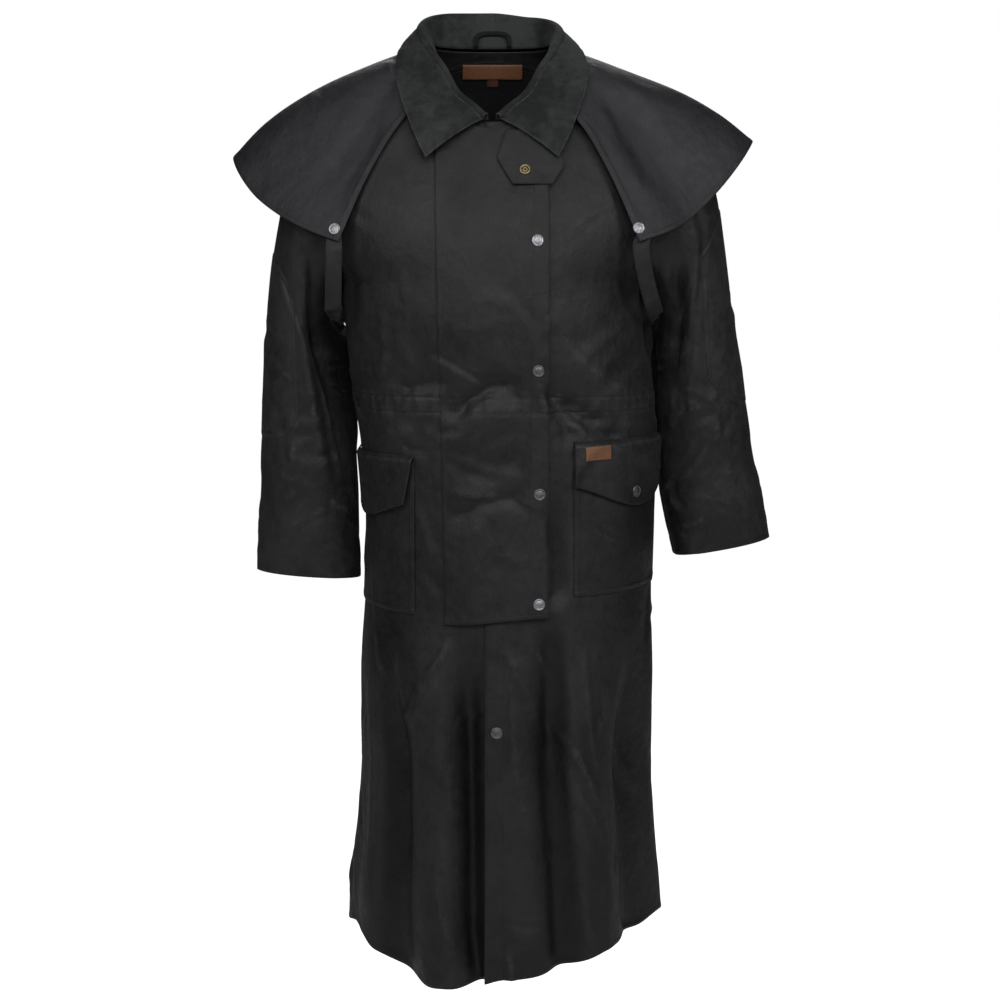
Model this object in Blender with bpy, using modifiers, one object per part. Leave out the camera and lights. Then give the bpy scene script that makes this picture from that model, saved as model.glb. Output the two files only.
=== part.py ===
"""Duster coat: a long waxed cotton riding coat with a shoulder cape, hollow, as if worn.

Sizes are in millimetres and become metres where a mesh is made. The origin is midway between
the wearer's shoulders at the height of the neck seam, x runs to the wearer's left, y to the
back and z up. "drop" is the distance below the origin. "across" runs round the body: 0 is the
centre front, 1 the wearer's left side, 2 the centre back and -1 or 3 the wearer's right side.
Left and right are the wearer's.
"""
import math

import bmesh
import bpy
import numpy as np
from mathutils import Matrix, Vector

MM = 0.001

# Cloth thicknesses and the gaps between layers
BODY_WALL = 1.6
TRIM_WALL = 1.5
COLLAR_WALL = 1.8
LINING_WALL = 1.0
LEATHER_WALL = 1.2
LAYER_GAP = 0.6
SEAM_TRIM = 0.0015
SHOULDER_SEAM_GAP = 0.5

# Neck opening and shoulder line
NECK_HALF = 80.0
NECK_SIDE_DROP = -14.0
NECK_FRONT_DROP = 88.0
NECK_BACK_DROP = -15.0
NECK_CURVE = 2.4
SHOULDER_HALF = 205.0
SHOULDER_DROP = 34.0
ARMPIT_DROP = 290.0
HEM_DROP = 1175.0
SIDE_TWIST = -0.05
SIDE_TWIST_RUN = 140.0
FOLDS_FULL_DROP = 150.0
SIDES = (("left", 1), ("right", -1))

# Rows and columns of the sheets
UPPER_ROWS = 12
WAIST_ROWS = 12
SKIRT_ROWS = 10
LEFT_FRONT_COLUMNS = 9
RIGHT_FRONT_COLUMNS = 8
LAP_COLUMNS = 3
BACK_COLUMNS = 18
SLEEVE_ROWS = 18
SLEEVE_COLUMNS = 18
CAPE_ROWS = 8
CAPE_COLUMNS = 18
COLLAR_COLUMNS = 14
FLAP_END_DROP = 720.0
FLAP_ROWS = 9
PATCH_ROW_GAP = 6.0
LABEL_COLUMNS = 3
NECK_LABEL_COLUMNS = 7
LABEL_ROWS = 2

# Fronts and storm flap, as distances from the middle of the neck
OVERLAP_EDGE = -9.0
UNDERLAP_EDGE = 14.0
FLAP_EDGE = 71.0
OVERLAP_LIFT = 2.3
OVERLAP_FADE_START = 60.0
OVERLAP_FADE_END = 120.0
QUARTER_GIRTH = 300.0

# Storm flap: its top edge at the middle and how much higher it is at its sides, its lower edge
FLAP_TOP = 97.0
FLAP_TOP_RISE = 40.0
FLAP_RIGHT_END = 718.0
FLAP_LEFT_END = 707.0
FLAP_SEAM_X = -72.0
FLAP_SEAM_SHIFT = 12.0
FLAP_SHIFT_TOP = 60.0
FLAP_SHIFT_END = 760.0

# How far the storm flap stands out: more at the chest, over the front's edge, at its own free edge
# and towards its lower end, each between two places
FLAP_SEWN_X = -66.0
FLAP_LOOSE_X = -20.0
FLAP_CHEST_LIFT = 1.0
FLAP_CHEST_TOP = 100.0
FLAP_CHEST_END = 220.0
FLAP_LAP_LIFT = 3.0
FLAP_LAP_INSET = 8.0
FLAP_FREE_LIFT = 2.0
FLAP_FREE_X = 20.0
FLAP_END_LIFT = 3.0
FLAP_END_TOP = 560.0

# Layers that lie on a panel: how far their outer face is from it
LAYER = TRIM_WALL + LAYER_GAP
POCKET_PUFF = 3.0
POCKET_FLAP_LIFT = 2 * LAYER + 2.4
POCKET_FLAP_PARTS = (0, 0.13, 0.34, 0.56, 0.78, 1)
POCKET_FLAP_RISE = 8.0
ELBOW_LIFT = LAYER + 0.2
ELBOW_ROWS = 6
TAB_LIFT = 9.2
TAB_COLUMNS = 4
LEATHER_LIFT = LEATHER_WALL + LAYER_GAP
LINING_LIFT = -4.8
LABEL_LIFT = -6.4
LINING_HALF = 112.0
LINING_COLUMNS = 14
LINING_TOP_INSET = 8.0
LINING_SIDE_INSET = 34.0
LINING_PARTS = (0, 0.06, 0.14, 0.25, 0.39, 0.56, 0.76, 1)
LINING_END = 170.0

# Pockets: the distance of the front edge from the middle, top and lower edge, and where the
# front and far edge lie round the body
LEFT_POCKET_X = 103.0
LEFT_POCKET_TOP = 485.0
LEFT_POCKET_END = 682.0
LEFT_POCKET_FRONT = 0.242
LEFT_POCKET_BACK = 0.94
LEFT_FLARE = 1.5
RIGHT_POCKET_X = -98.0
RIGHT_POCKET_TOP = 505.0
RIGHT_POCKET_END = 708.0
RIGHT_POCKET_FRONT = -0.375
RIGHT_POCKET_BACK = -1.03
RIGHT_FLARE = 5.0
RIGHT_FLAP_SLANT = 0.14
POCKET_FAR = 0.985
POCKET_INSET = 9.0

# Labels
LABEL_LEFT = 115.0
LABEL_RIGHT = 147.0
LABEL_TOP = 492.0
LABEL_END = 510.0
LABEL_TILT = 1.7
LABEL_CLEAR = 0.1
NECK_LABEL_HALF = 41.0
NECK_LABEL_TOP = -2.0
NECK_LABEL_END = 17.0
THROAT_SNAP_X = 41.0
THROAT_SNAP_DROP = 150.0

# Hanger loop on the collar's stand
LOOP_HALF = 25.0
LOOP_HEIGHT = 22.0
LOOP_WIDTH = 6.0
LOOP_STEPS = 10
LOOP_WALL = 1.5
LOOP_FOOT = 1.5
LOOP_LIFT = -3.6
LOOP_WAY_RATE = 0.004
STAND_TOP = 2

# Cape straps
STRAP_WIDTH = 21.0
STRAP_TUCK = 2.9

# Sleeves
ARMHOLE_GAP = 1.3
SLEEVE_LENGTH = 660.0
SLEEVE_DEGREE = 1.1
SLEEVE_ROOT_PART = 0.3
SLEEVE_FOLD_PART = 0.12

# Cape
CAPE_LENGTH = 290.0
CAPE_WAY = 420.0
LEFT_CAPE_TURN = 4.0
LEFT_CAPE_RAISE = 20.0
LEFT_CAPE_DROP = 3.5
LEFT_CAPE_IN = 6.0
LEFT_CAPE_SINK = 3.0
LEFT_CAPE_RISE_WAYS = (0.05, 0.3, 0.6)
LEFT_CAPE_IN_WAYS = (0.06, 0.2, 0.32)
CAPE_WALL = 1.5

# Collar
COLLAR_SEAM_GAP = 3.0
ROLL_RADIUS = 3.4
ROLL_ANGLES = (0, 45, 90, 135, 180)
COLLAR_SWELL = 4.0
LEFT_COLLAR_IN = 5.0
LEFT_COLLAR_DOWN = 5.0
LEFT_COLLAR_START = (0.45, 0.6)
LEFT_COLLAR_STOP = (0.86, 1.0)
STAND_STEPS = (0, 0.5)
LEAF_STEPS = (0.25, 0.5, 0.75, 1)

# Snap fasteners
SNAP_RADIUS = 7.6
SNAP_HEIGHT = 2.6
SNAP_BEVEL = 1.1
SNAP_SIDES = 12
SNAP_SEAT = 0.5
RING_RADIUS = 5.6
RING_HEIGHT = 2.0
FRONT_SNAP_NAMES = ("snap_flap_1", "snap_flap_2", "snap_flap_3", "snap_flap_4", "snap_overlap")
LEFT_SNAP_X = 178.0
LEFT_SNAP_DROP = 553.0
CAPE_SNAP_LIFT = -0.3
CAPE_SNAP = {"left": (0.01, 0.95), "right": (0.02, 0.96)}


def table(names, *rows):
    """A table's rows as one array for each named column."""
    return {name: np.array([row[i] for row in rows], float) for i, name in enumerate(names.split())}


BODY = table(
    "drop mid half front back shape",
    (-15, 0, 80, 14, 65, 2.4),
    (-5, 0, 103, 26, 73, 2.4),
    (5, 0, 129, 34, 79, 2.4),
    (20, 0, 168, 43, 87, 2.4),
    (34, 0, 205, 50, 94, 2.4),
    (50, 0, 224, 56, 99, 2.4),
    (80, 0, 240, 68, 107, 2.4),
    (110, 0, 245, 84, 114, 2.4),
    (150, 0, 246, 106, 121, 2.4),
    (200, 0, 240, 130, 126, 2.4),
    (250, 0, 222, 144, 128, 2.35),
    (290, 0, 197, 150, 128, 2.3),
    (350, 5, 199, 154, 124, 2.3),
    (430, 14, 200, 152, 120, 2.3),
    (500, 21, 197, 155, 128, 2.3),
    (600, 24, 191, 162, 140, 2.25),
    (700, 20, 192, 170, 152, 2.2),
    (800, 16, 195, 178, 164, 2.2),
    (900, 14, 193, 186, 175, 2.15),
    (1000, 14, 198, 196, 188, 2.1),
    (1100, 12, 209, 205, 198, 1.98),
    (1200, 14, 216, 214, 207, 1.82),
)

ARMHOLE = table(
    "drop reach",
    (34, 205),
    (80, 196),
    (120, 191),
    (160, 189),
    (200, 190),
    (250, 193),
    (290, 197),
)

HEM = table(
    "across drop",
    (-2.0, 1172),
    (-1.4, 1172),
    (-1.0, 1169),
    (-0.9, 1160),
    (-0.8, 1152),
    (-0.7, 1156),
    (-0.6, 1169),
    (-0.5, 1181),
    (-0.4, 1187),
    (-0.2, 1185),
    (0.0, 1169),
    (0.2, 1166),
    (0.3, 1164),
    (0.4, 1153),
    (0.5, 1148),
    (0.7, 1149),
    (0.85, 1141),
    (1.0, 1154),
    (1.4, 1164),
    (2.0, 1172),
)

# Folds: soft ridges (height over 0) and troughs (under 0) between two places on the body
BODY_FOLDS = table(
    "across drop to_across to_drop bow width height",
    (0.04, 402, -0.22, 466, 6, 20, -5),
    (-0.25, 470, 0.03, 432, 0, 18, 3),
    (-0.25, 497, 0.08, 545, 0, 20, -4),
    (-0.22, 545, 0.02, 508, 0, 20, 3),
    (0.06, 552, -0.24, 590, 0, 22, -4.5),
    (0.20, 425, 0.52, 478, 8, 20, -6),
    (0.26, 385, 0.80, 448, 15, 20, 4),
    (0.15, 414, 0.24, 492, 0, 16, -5),
    (0.14, 560, 0.19, 700, -4, 16, -5),
    (-0.14, 405, -0.46, 424, 0, 20, -2.5),
    (-0.58, 480, -0.26, 430, 0, 22, 3),
    (-0.31, 690, -0.17, 1400, 0, 38, 9),
    (-0.55, 780, -0.45, 1400, 0, 42, -10),
    (-0.76, 740, -0.74, 1400, 0, 36, 5),
    (-0.22, 734, -0.50, 860, -22, 14, 3.5),
    (0.15, 712, 0.37, 1400, 14, 24, -11),
    (0.31, 715, 0.52, 1400, 0, 36, 7),
    (0.62, 750, 0.68, 1400, 0, 36, -8),
    (0.03, 735, 0.11, 1400, 0, 36, 5),
    (0.90, 640, 0.92, 1400, 0, 32, 5),
    (1.22, 700, 1.18, 1400, 6, 38, -10),
    (1.46, 640, 1.52, 1400, 0, 42, 8),
    (1.74, 760, 1.77, 1400, -8, 32, -10),
    (1.97, 690, 2.02, 1400, 0, 40, 8),
    (2.24, 640, 2.20, 1400, 10, 34, -11),
    (2.47, 730, 2.53, 1400, 0, 42, 8),
    (2.76, 660, 2.80, 1400, 0, 34, -9),
    (1.35, 432, 1.88, 396, 12, 22, -5),
    (2.16, 410, 2.72, 462, -12, 24, -5),
    (1.68, 520, 2.34, 500, 0, 22, -4),
    (1.30, 250, 1.62, 330, 0, 24, -4),
    (2.70, 255, 2.36, 345, 0, 24, -4),
)

# The trough beside the overlap, on the right front alone
UNDERLAP_FOLDS = table(
    "across drop to_across to_drop bow width height",
    (-0.14, 735, -0.11, 1400, 4, 24, -17),
)

# Each sleeve's sections: its outer and inner side seen from the front, its depth, and how far
# its back is pressed towards the body
RIGHT_SLEEVE = table(
    "along out_x out_drop in_x in_drop front back tuck",
    (0.00, 205, 34, 197, 290, 80, 88, 0),
    (0.08, 229, 56, 205, 298, 82, 86, 0),
    (0.15, 250, 92, 214, 308, 82, 82, 0),
    (0.23, 266, 140, 221, 324, 80, 78, 0),
    (0.32, 279, 203, 223, 345, 76, 74, 6),
    (0.42, 290, 262, 220, 375, 71, 70, 34),
    (0.50, 297, 320, 214, 408, 67, 67, 33),
    (0.60, 303, 385, 206, 442, 63, 63, 29),
    (0.69, 307, 450, 198, 482, 58, 58, 26),
    (0.77, 310, 510, 190, 525, 54, 54, 14),
    (0.85, 312, 565, 184, 572, 49, 49, 8),
    (0.92, 316, 612, 181, 616, 45, 45, 3),
    (1.00, 319, 675, 179, 685, 37, 40, 0),
)

LEFT_SLEEVE = table(
    "along out_x out_drop in_x in_drop front back tuck",
    (0.00, 205, 34, 197, 290, 80, 88, 0),
    (0.08, 232, 55, 206, 298, 82, 86, 0),
    (0.15, 256, 86, 216, 308, 82, 82, 0),
    (0.23, 276, 126, 225, 322, 80, 78, 0),
    (0.32, 294, 176, 229, 342, 76, 74, 4),
    (0.42, 304, 235, 229, 372, 71, 70, 26),
    (0.50, 312, 290, 226, 408, 67, 67, 21),
    (0.60, 322, 352, 224, 448, 63, 63, 15),
    (0.69, 332, 405, 225, 488, 58, 58, 12),
    (0.77, 340, 460, 227, 525, 54, 54, 12),
    (0.85, 350, 520, 230, 566, 49, 49, 12),
    (0.92, 362, 568, 236, 606, 45, 45, 10),
    (1.00, 374, 631, 247, 655, 36, 40, 8),
)

RIGHT_SLEEVE_FOLDS = table(
    "turn along to_turn to_along bow width height",
    (100, 120, 120, 560, 0, 14, 5),
    (140, 150, 150, 560, 0, 22, -8),
)

LEFT_SLEEVE_FOLDS = table(
    "turn along to_turn to_along bow width height",
    (95, 100, 110, 330, 0, 14, 4),
    (130, 120, 150, 380, 0, 20, -6),
)

RIGHT_CAPE_FOLDS = table(
    "way out to_way to_out bow width height",
    (0.12, 120, 0.10, 420, 0, 22, 2),
    (0.24, 140, 0.26, 420, 0, 26, 4),
    (0.42, 120, 0.40, 420, 0, 26, -6),
    (0.60, 120, 0.62, 420, 0, 26, 5),
    (0.80, 120, 0.78, 420, 0, 24, 3),
)

LEFT_CAPE_FOLDS = table(
    "way out to_way to_out bow width height",
    (0.16, 110, 0.13, 420, 0, 20, -6),
    (0.27, 120, 0.26, 420, 0, 22, 4),
    (0.44, 120, 0.46, 420, 0, 26, -6),
    (0.66, 120, 0.62, 420, 0, 26, 5),
    (0.86, 120, 0.84, 420, 0, 24, 3),
)

# Cape: from the front edge (0) to the centre back (1), the turn round the neck in degrees and
# five rings from neck to hem, each a distance from the neck's middle and a height
CAPE = table(
    "way turn r0 z0 r1 z1 r2 z2 r3 z3 r4 z4",
    (0.00, 58, 92, -30, 124, -73, 153, -107, 190, -165, 227, -237),
    (0.10, 68, 94, -10, 123, -31, 162, -78, 208, -137, 265, -217),
    (0.20, 78, 93, 6, 141, -13, 196, -49, 251, -106, 307, -182),
    (0.32, 90, 89, 16, 160, -9.5, 230, -40, 295, -83, 342, -130),
    (0.45, 105, 86, 16, 156, -9.5, 216, -38.5, 270, -86, 318, -151),
    (0.57, 120, 82, 16, 133, -8, 180, -52, 217, -124, 250, -211),
    (0.70, 140, 78, 15.5, 109, -8, 142, -76, 161, -164, 176, -244),
    (0.85, 160, 74, 15, 94, -7, 122, -70, 139, -165, 148, -257),
    (1.00, 180, 72, 15, 90, -7, 113, -68, 131, -165, 138, -261),
)

# Collar, from its front end (0) to the centre back (1): where its seam is on the neckline
# (0 centre front, 1 shoulder, 2 centre back), its roll and the outer edge of its fall
COLLAR = table(
    "way neck roll_x roll_y roll_z fall_x fall_y fall_z",
    (0.00, 0.04, 9, -79, -79, 83, -107, -133),
    (0.10, 0.17, 22, -72, -66, 93, -100, -114),
    (0.22, 0.36, 45, -60, -47, 105, -84, -86),
    (0.36, 0.56, 64, -45, -14, 119, -65, -46),
    (0.48, 0.72, 79, -30, 6, 124, -46, -19),
    (0.60, 0.95, 96, 0, 36, 119, -6, 8),
    (0.72, 1.25, 87, 38, 54, 111, 46, 5),
    (0.86, 1.64, 58, 66, 63, 71, 86, 0),
    (1.00, 2.00, 0, 78, 65, 0, 98, -4),
)

# Throat tab: its left and right edge at each drop
TAB = table(
    "drop left right",
    (101, 18, 66),
    (117, 12, 80),
    (134, 6, 88),
    (142, 11, 91),
    (152, 17, 84),
    (166, 26, 74),
)

# Pocket flaps: how low the lower edge is from the front corner (0) to the far corner (1)
RIGHT_POCKET_FLAP = table(
    "way drop",
    (0.0, 567),
    (0.5, 588),
    (1.0, 566),
)

LEFT_POCKET_FLAP = table(
    "way drop",
    (0.0, 543),
    (0.5, 571),
    (1.0, 545),
)

# Elbow patches: where they start and end along the sleeve at each turn round it
RIGHT_ELBOW = table(
    "turn top bottom",
    (-80, 0.40, 0.735),
    (20, 0.40, 0.745),
    (66, 0.39, 0.735),
    (92, 0.42, 0.68),
)

LEFT_ELBOW = table(
    "turn top bottom",
    (-80, 0.35, 0.75),
    (20, 0.35, 0.75),
    (60, 0.35, 0.715),
    (84, 0.335, 0.64),
)

# Where each strap's two ends lie under the cape: rows from its front end on, then to its back end
STRAP_ENDS = table(
    "inner_way inner_out outer_way outer_out",
    (0.013, 0.930, 0.046, 0.955),
    (0.003, 0.965, 0.035, 0.990),
    (0.580, 0.970, 0.557, 0.995),
    (0.575, 0.935, 0.552, 0.960),
)

# Cape straps: the middle line from under the cape's front corner, below the arm, to the back,
# and which way the strap's width runs
RIGHT_STRAP = table(
    "step x y z wide_x wide_y wide_z",
    (0, 198, -119, -246, 1, 0, 0),
    (1, 199, -120, -270, 1, 0, 0),
    (2, 200, -116, -300, 1, 0, 0),
    (3, 202, -106, -321, 1, 0, 0.15),
    (4, 204, -86, -333, 0.9, 0, 0.45),
    (5, 205, -50, -336, 0.6, 0, 0.8),
    (6, 204, 0, -335, 0.4, 0, 0.9),
    (7, 202, 50, -333, 0.5, 0, 0.85),
    (8, 202, 84, -328, 0.8, 0, 0.6),
    (9, 204, 104, -312, 1, 0, 0.2),
    (10, 207, 115, -285, 1, 0, 0),
    (11, 211, 121, -255, 1, 0, 0),
    (12, 214, 123, -232, 1, 0, 0),
)

LEFT_STRAP = table(
    "step x y z wide_x wide_y wide_z",
    (0, 186, -128, -240, 1, 0, 0),
    (1, 189, -128, -265, 1, 0, 0),
    (2, 195, -122, -290, 1, 0, 0),
    (3, 202, -110, -312, 1, 0, 0.15),
    (4, 209, -88, -328, 0.9, 0, 0.45),
    (5, 214, -50, -335, 0.6, 0, 0.8),
    (6, 214, 0, -335, 0.4, 0, 0.9),
    (7, 211, 50, -333, 0.5, 0, 0.85),
    (8, 208, 84, -328, 0.8, 0, 0.6),
    (9, 208, 104, -312, 1, 0, 0.2),
    (10, 209, 115, -285, 1, 0, 0),
    (11, 211, 121, -255, 1, 0, 0),
    (12, 214, 123, -232, 1, 0, 0),
)

# Snaps on the storm flap and the overlap
FRONT_SNAPS = table(
    "x drop sink",
    (56, 237, 0.0),
    (57, 396, 0.0),
    (59, 551, 0.4),
    (58, 689, 0.0),
    (6, 852, 0.0),
)


def smooth(rows, key, name, at):
    """One column of a table at any place: a cubic that never overshoots, level past the ends."""
    x = rows[key]
    y = rows[name]
    run = np.diff(x)
    slope = np.diff(y) / run
    bend = np.zeros(len(x))
    bend[0] = slope[0]
    bend[-1] = slope[-1]
    product = slope[:-1] * slope[1:]
    total = slope[:-1] + slope[1:]
    turning = product <= 0
    bend[1:-1] = np.where(turning, 0.0, 2 * product / np.where(turning, 1.0, total))
    at = np.clip(np.asarray(at, float), x[0], x[-1])
    i = np.clip(np.searchsorted(x, at, side="right") - 1, 0, len(run) - 1)
    t = (at - x[i]) / run[i]
    start = y[i] * (1 + 2 * t) * (1 - t) ** 2 + run[i] * bend[i] * t * (1 - t) ** 2
    end = y[i + 1] * t * t * (3 - 2 * t) - run[i] * bend[i + 1] * t * t * (1 - t)
    return start + end


def ease(low, high, at):
    """0 below low, 1 above high, and smooth between them."""
    t = np.clip((np.asarray(at, float) - low) / (high - low), 0, 1)
    return t * t * (3 - 2 * t)


def rise_and_fall(places, at):
    """1 at the middle one of three places and 0 beyond the outer ones."""
    start, middle, stop = places
    return ease(start, middle, at) * (1 - ease(middle, stop, at))


def signed_power(value, power):
    return np.sign(value) * np.abs(value) ** power


def unit(vectors):
    return vectors / np.maximum(np.linalg.norm(vectors, axis=-1, keepdims=True), 1e-9)


# The body: superellipse rings, cut off at the armholes


def body_half(drop):
    """Half width of the body's ring; above the shoulder point the shoulder seam runs straight."""
    slope = (SHOULDER_HALF - NECK_HALF) / (SHOULDER_DROP - NECK_SIDE_DROP)
    seam = NECK_HALF + slope * np.maximum(drop - NECK_SIDE_DROP, 0)
    return np.where(drop < SHOULDER_DROP, seam, smooth(BODY, "drop", "half", drop))


def body_reach(drop):
    """How far out the body's cloth goes: to the armhole, and below it all the way round."""
    return np.where(drop < ARMPIT_DROP, smooth(ARMHOLE, "drop", "reach", drop), body_half(drop))


def plain_body(across, drop):
    """Points of the body before folds."""
    half = body_half(drop)
    shape = smooth(BODY, "drop", "shape", drop)
    angle = across * math.pi / 2
    reach = body_reach(drop)
    filled = np.clip((reach / half) ** shape * np.sin(angle) ** 2, 0, 1)
    x = smooth(BODY, "drop", "mid", drop) + reach * signed_power(np.sin(angle), 2 / shape)
    front = -smooth(BODY, "drop", "front", drop)
    back = smooth(BODY, "drop", "back", drop)
    y = np.where(np.cos(angle) >= 0, front, back) * (1 - filled) ** (1 / shape)
    return np.stack([x, y, -drop], axis=-1)


def across_at(x, drop):
    """Where on the front a point at this x lies."""
    shape = smooth(BODY, "drop", "shape", drop)
    ratio = (x - smooth(BODY, "drop", "mid", drop)) / body_reach(drop)
    return np.arcsin(np.clip(signed_power(ratio, shape / 2), -1, 1)) / (math.pi / 2)


def normals(surface, a, b, step_a, step_b, sign):
    """Outward directions of a surface of two parameters, from its neighbouring points."""
    along = surface(a + step_a, b) - surface(a - step_a, b)
    down = surface(a, b + step_b) - surface(a, b - step_b)
    return unit(sign * np.cross(down, along))


def fold_depth(rows, a, b, a_size, period=None):
    """Sum of a table's folds at places (a, b); a_size is the length of one unit of a."""
    depth = np.zeros(np.broadcast(a, b).shape)
    for i in range(len(rows["width"])):
        start_a, start_b, end_a, end_b, bow, width, height = (rows[name][i] for name in rows)
        da = a - start_a
        if period:
            da = (da + period / 2) % period - period / 2
        reach_a = (end_a - start_a) * a_size
        reach_b = end_b - start_b
        length = math.hypot(reach_a, reach_b)
        t = (da * a_size * reach_a + (b - start_b) * reach_b) / length ** 2
        side = ((b - start_b) * reach_a - da * a_size * reach_b) / length
        side = side - bow * 4 * t * (1 - t)
        fade = ease(-0.04, 0.22, t) * (1 - ease(0.78, 1.04, t))
        depth = depth + height * fade * np.exp(-(side / width) ** 2)
    return depth


def body(across, drop, lift=0.0):
    """Points of the folded body, moved out by lift."""
    across, drop = np.broadcast_arrays(np.asarray(across, float), np.asarray(drop, float))
    out = normals(plain_body, across, drop, 0.01, 2.0, 1)
    fade = ease(SHOULDER_DROP, FOLDS_FULL_DROP, drop)
    folds = fold_depth(BODY_FOLDS, across, drop, QUARTER_GIRTH, 4) * fade
    return plain_body(across, drop) + out * (folds + lift)[..., None]


def front_neck_drop(x):
    return NECK_FRONT_DROP + (NECK_SIDE_DROP - NECK_FRONT_DROP) * (np.abs(x) / NECK_HALF) ** NECK_CURVE


def back_neck_drop(x):
    return NECK_BACK_DROP + (NECK_SIDE_DROP - NECK_BACK_DROP) * (np.abs(x) / NECK_HALF) ** 2


def top_drop(across):
    """Where a panel starts: on the neckline or the shoulder seam."""
    angle = across * math.pi / 2
    x = np.abs(SHOULDER_HALF * signed_power(np.sin(angle), 2 / BODY["shape"][0]))
    slope = (SHOULDER_DROP - NECK_SIDE_DROP) / (SHOULDER_HALF - NECK_HALF)
    seam = NECK_SIDE_DROP + slope * (x - NECK_HALF)
    inner = np.minimum(x, NECK_HALF)
    neck = np.where(np.cos(angle) >= 0, front_neck_drop(inner), back_neck_drop(inner))
    return np.where(x < NECK_HALF, neck, seam)


def hem_drop(across):
    return smooth(HEM, "across", "drop", (across + 2) % 4 - 2)


def column_drops(line):
    """The drops of a panel's rows along one line, from its neckline or shoulder seam to the hem."""
    top = NECK_FRONT_DROP
    for _ in range(30):
        top = float(top_drop(line(np.float64(top))))
    upper = top + (ARMPIT_DROP - top) * (1 - np.cos(np.pi * np.arange(UPPER_ROWS + 1) / UPPER_ROWS)) / 2
    waist = np.linspace(ARMPIT_DROP, FLAP_END_DROP, WAIST_ROWS + 1)[1:]
    hem = float(hem_drop(line(np.float64(HEM_DROP))))
    skirt = np.linspace(FLAP_END_DROP, hem, SKIRT_ROWS + 1)[1:]
    return np.concatenate([upper, waist, skirt])


def side_line(side, inward=SEAM_TRIM):
    """The line of an armhole and side seam, trimmed for the seam's gap."""

    def line(drop):
        return side + SIDE_TWIST * ease(ARMPIT_DROP, ARMPIT_DROP + SIDE_TWIST_RUN, drop) - inward

    return line


def fixed_line(x):
    """A straight line down the front at this distance from the middle."""

    def line(drop):
        return across_at(x, drop)

    return line


def back_line(x):
    """A straight line down the back at this distance from the middle."""

    def line(drop):
        return 2 - across_at(x, drop)

    return line


def slanted_line(x, slant, top):
    """A line down the front that moves outward by slant for each step down from top."""

    def line(drop):
        return across_at(x + slant * np.sign(x) * (drop - top), drop)

    return line


def flap_seam_line(drop):
    """The seam that the storm flap hangs from."""
    shift = FLAP_SEAM_SHIFT * ease(FLAP_SHIFT_TOP, FLAP_SHIFT_END, drop)
    return across_at(FLAP_SEAM_X + shift, drop)


def between(first, second, part):
    """A line part of the way from one line to another."""

    def line(drop):
        return first(drop) * (1 - part) + second(drop) * part

    return line


def fan(first, second, count):
    """Evenly spread lines from one to the other, without the last."""
    return [between(first, second, i / count) for i in range(count)]


def body_grid(lines, lift, gap_sign, drops=column_drops):
    """Points of a panel: a column for each line; lift(across, drop) moves a layer out."""
    columns = []
    for line in lines:
        drop = drops(line)
        across = line(drop)
        points = body(across, drop, lift(across, drop))
        points[..., 1] += gap_sign * SHOULDER_SEAM_GAP * (1 - ease(SHOULDER_DROP, ARMPIT_DROP, drop))
        columns.append(points)
    return np.stack(columns, axis=1)


# Sleeves: rings from the armhole to the cuff; turn is 0 on the outer side, 90 at the front


def armhole_ring(turn, side):
    """The armhole as a closed curve, moved just off the body."""
    angle = np.radians(turn)
    middle = (SHOULDER_DROP + ARMPIT_DROP) / 2
    drop = middle - (ARMPIT_DROP - SHOULDER_DROP) / 2 * np.cos(angle)
    edge = plain_body(np.where(np.sin(angle) >= 0, 1.0, 1.000001), drop)
    return np.stack([side * (edge[..., 0] + ARMHOLE_GAP), edge[..., 1], edge[..., 2]], axis=-1)


def sleeve_ring(sections, turn, along, side):
    """A plain oval section of a sleeve."""
    angle = np.radians(turn)
    out_x = smooth(sections, "along", "out_x", along)
    out_z = -smooth(sections, "along", "out_drop", along)
    in_x = smooth(sections, "along", "in_x", along)
    in_z = -smooth(sections, "along", "in_drop", along)
    front = smooth(sections, "along", "front", along)
    back = smooth(sections, "along", "back", along)
    pressed = 2 * np.clip(-np.sin(angle), 0, 1) * np.clip(-np.cos(angle), 0, 1)
    x = (out_x + in_x) / 2 + (out_x - in_x) / 2 * np.cos(angle)
    x = x - smooth(sections, "along", "tuck", along) * pressed
    z = (out_z + in_z) / 2 + (out_z - in_z) / 2 * np.cos(angle)
    y = -np.where(np.sin(angle) >= 0, front, back) * np.sin(angle)
    return np.stack([side * x, y, z], axis=-1)


def plain_sleeve(side):
    """A sleeve's surface before folds, as a function of turn and along."""
    sections = LEFT_SLEEVE if side > 0 else RIGHT_SLEEVE

    def surface(turn, along):
        turn, along = np.broadcast_arrays(np.asarray(turn, float), np.asarray(along, float))
        ring = sleeve_ring(sections, turn, along, side)
        root = armhole_ring(turn, side) - sleeve_ring(sections, turn, np.zeros(along.shape), side)
        return ring + root * (1 - ease(0, SLEEVE_ROOT_PART, along))[..., None]

    return surface


def sleeve(side, turn, along, lift=0.0):
    """Points of a folded sleeve, moved out by lift."""
    surface = plain_sleeve(side)
    turn, along = np.broadcast_arrays(np.asarray(turn, float), np.asarray(along, float))
    out = normals(surface, turn, np.clip(along, 0.01, 0.99), 2.0, 0.01, -side)
    rows = LEFT_SLEEVE_FOLDS if side > 0 else RIGHT_SLEEVE_FOLDS
    folds = fold_depth(rows, turn, along * SLEEVE_LENGTH, SLEEVE_DEGREE, 360)
    return surface(turn, along) + out * (folds * ease(0.0, SLEEVE_FOLD_PART, along) + lift)[..., None]


# Cape: rings round the neck; on each side way runs from the front edge to the centre back


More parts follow.
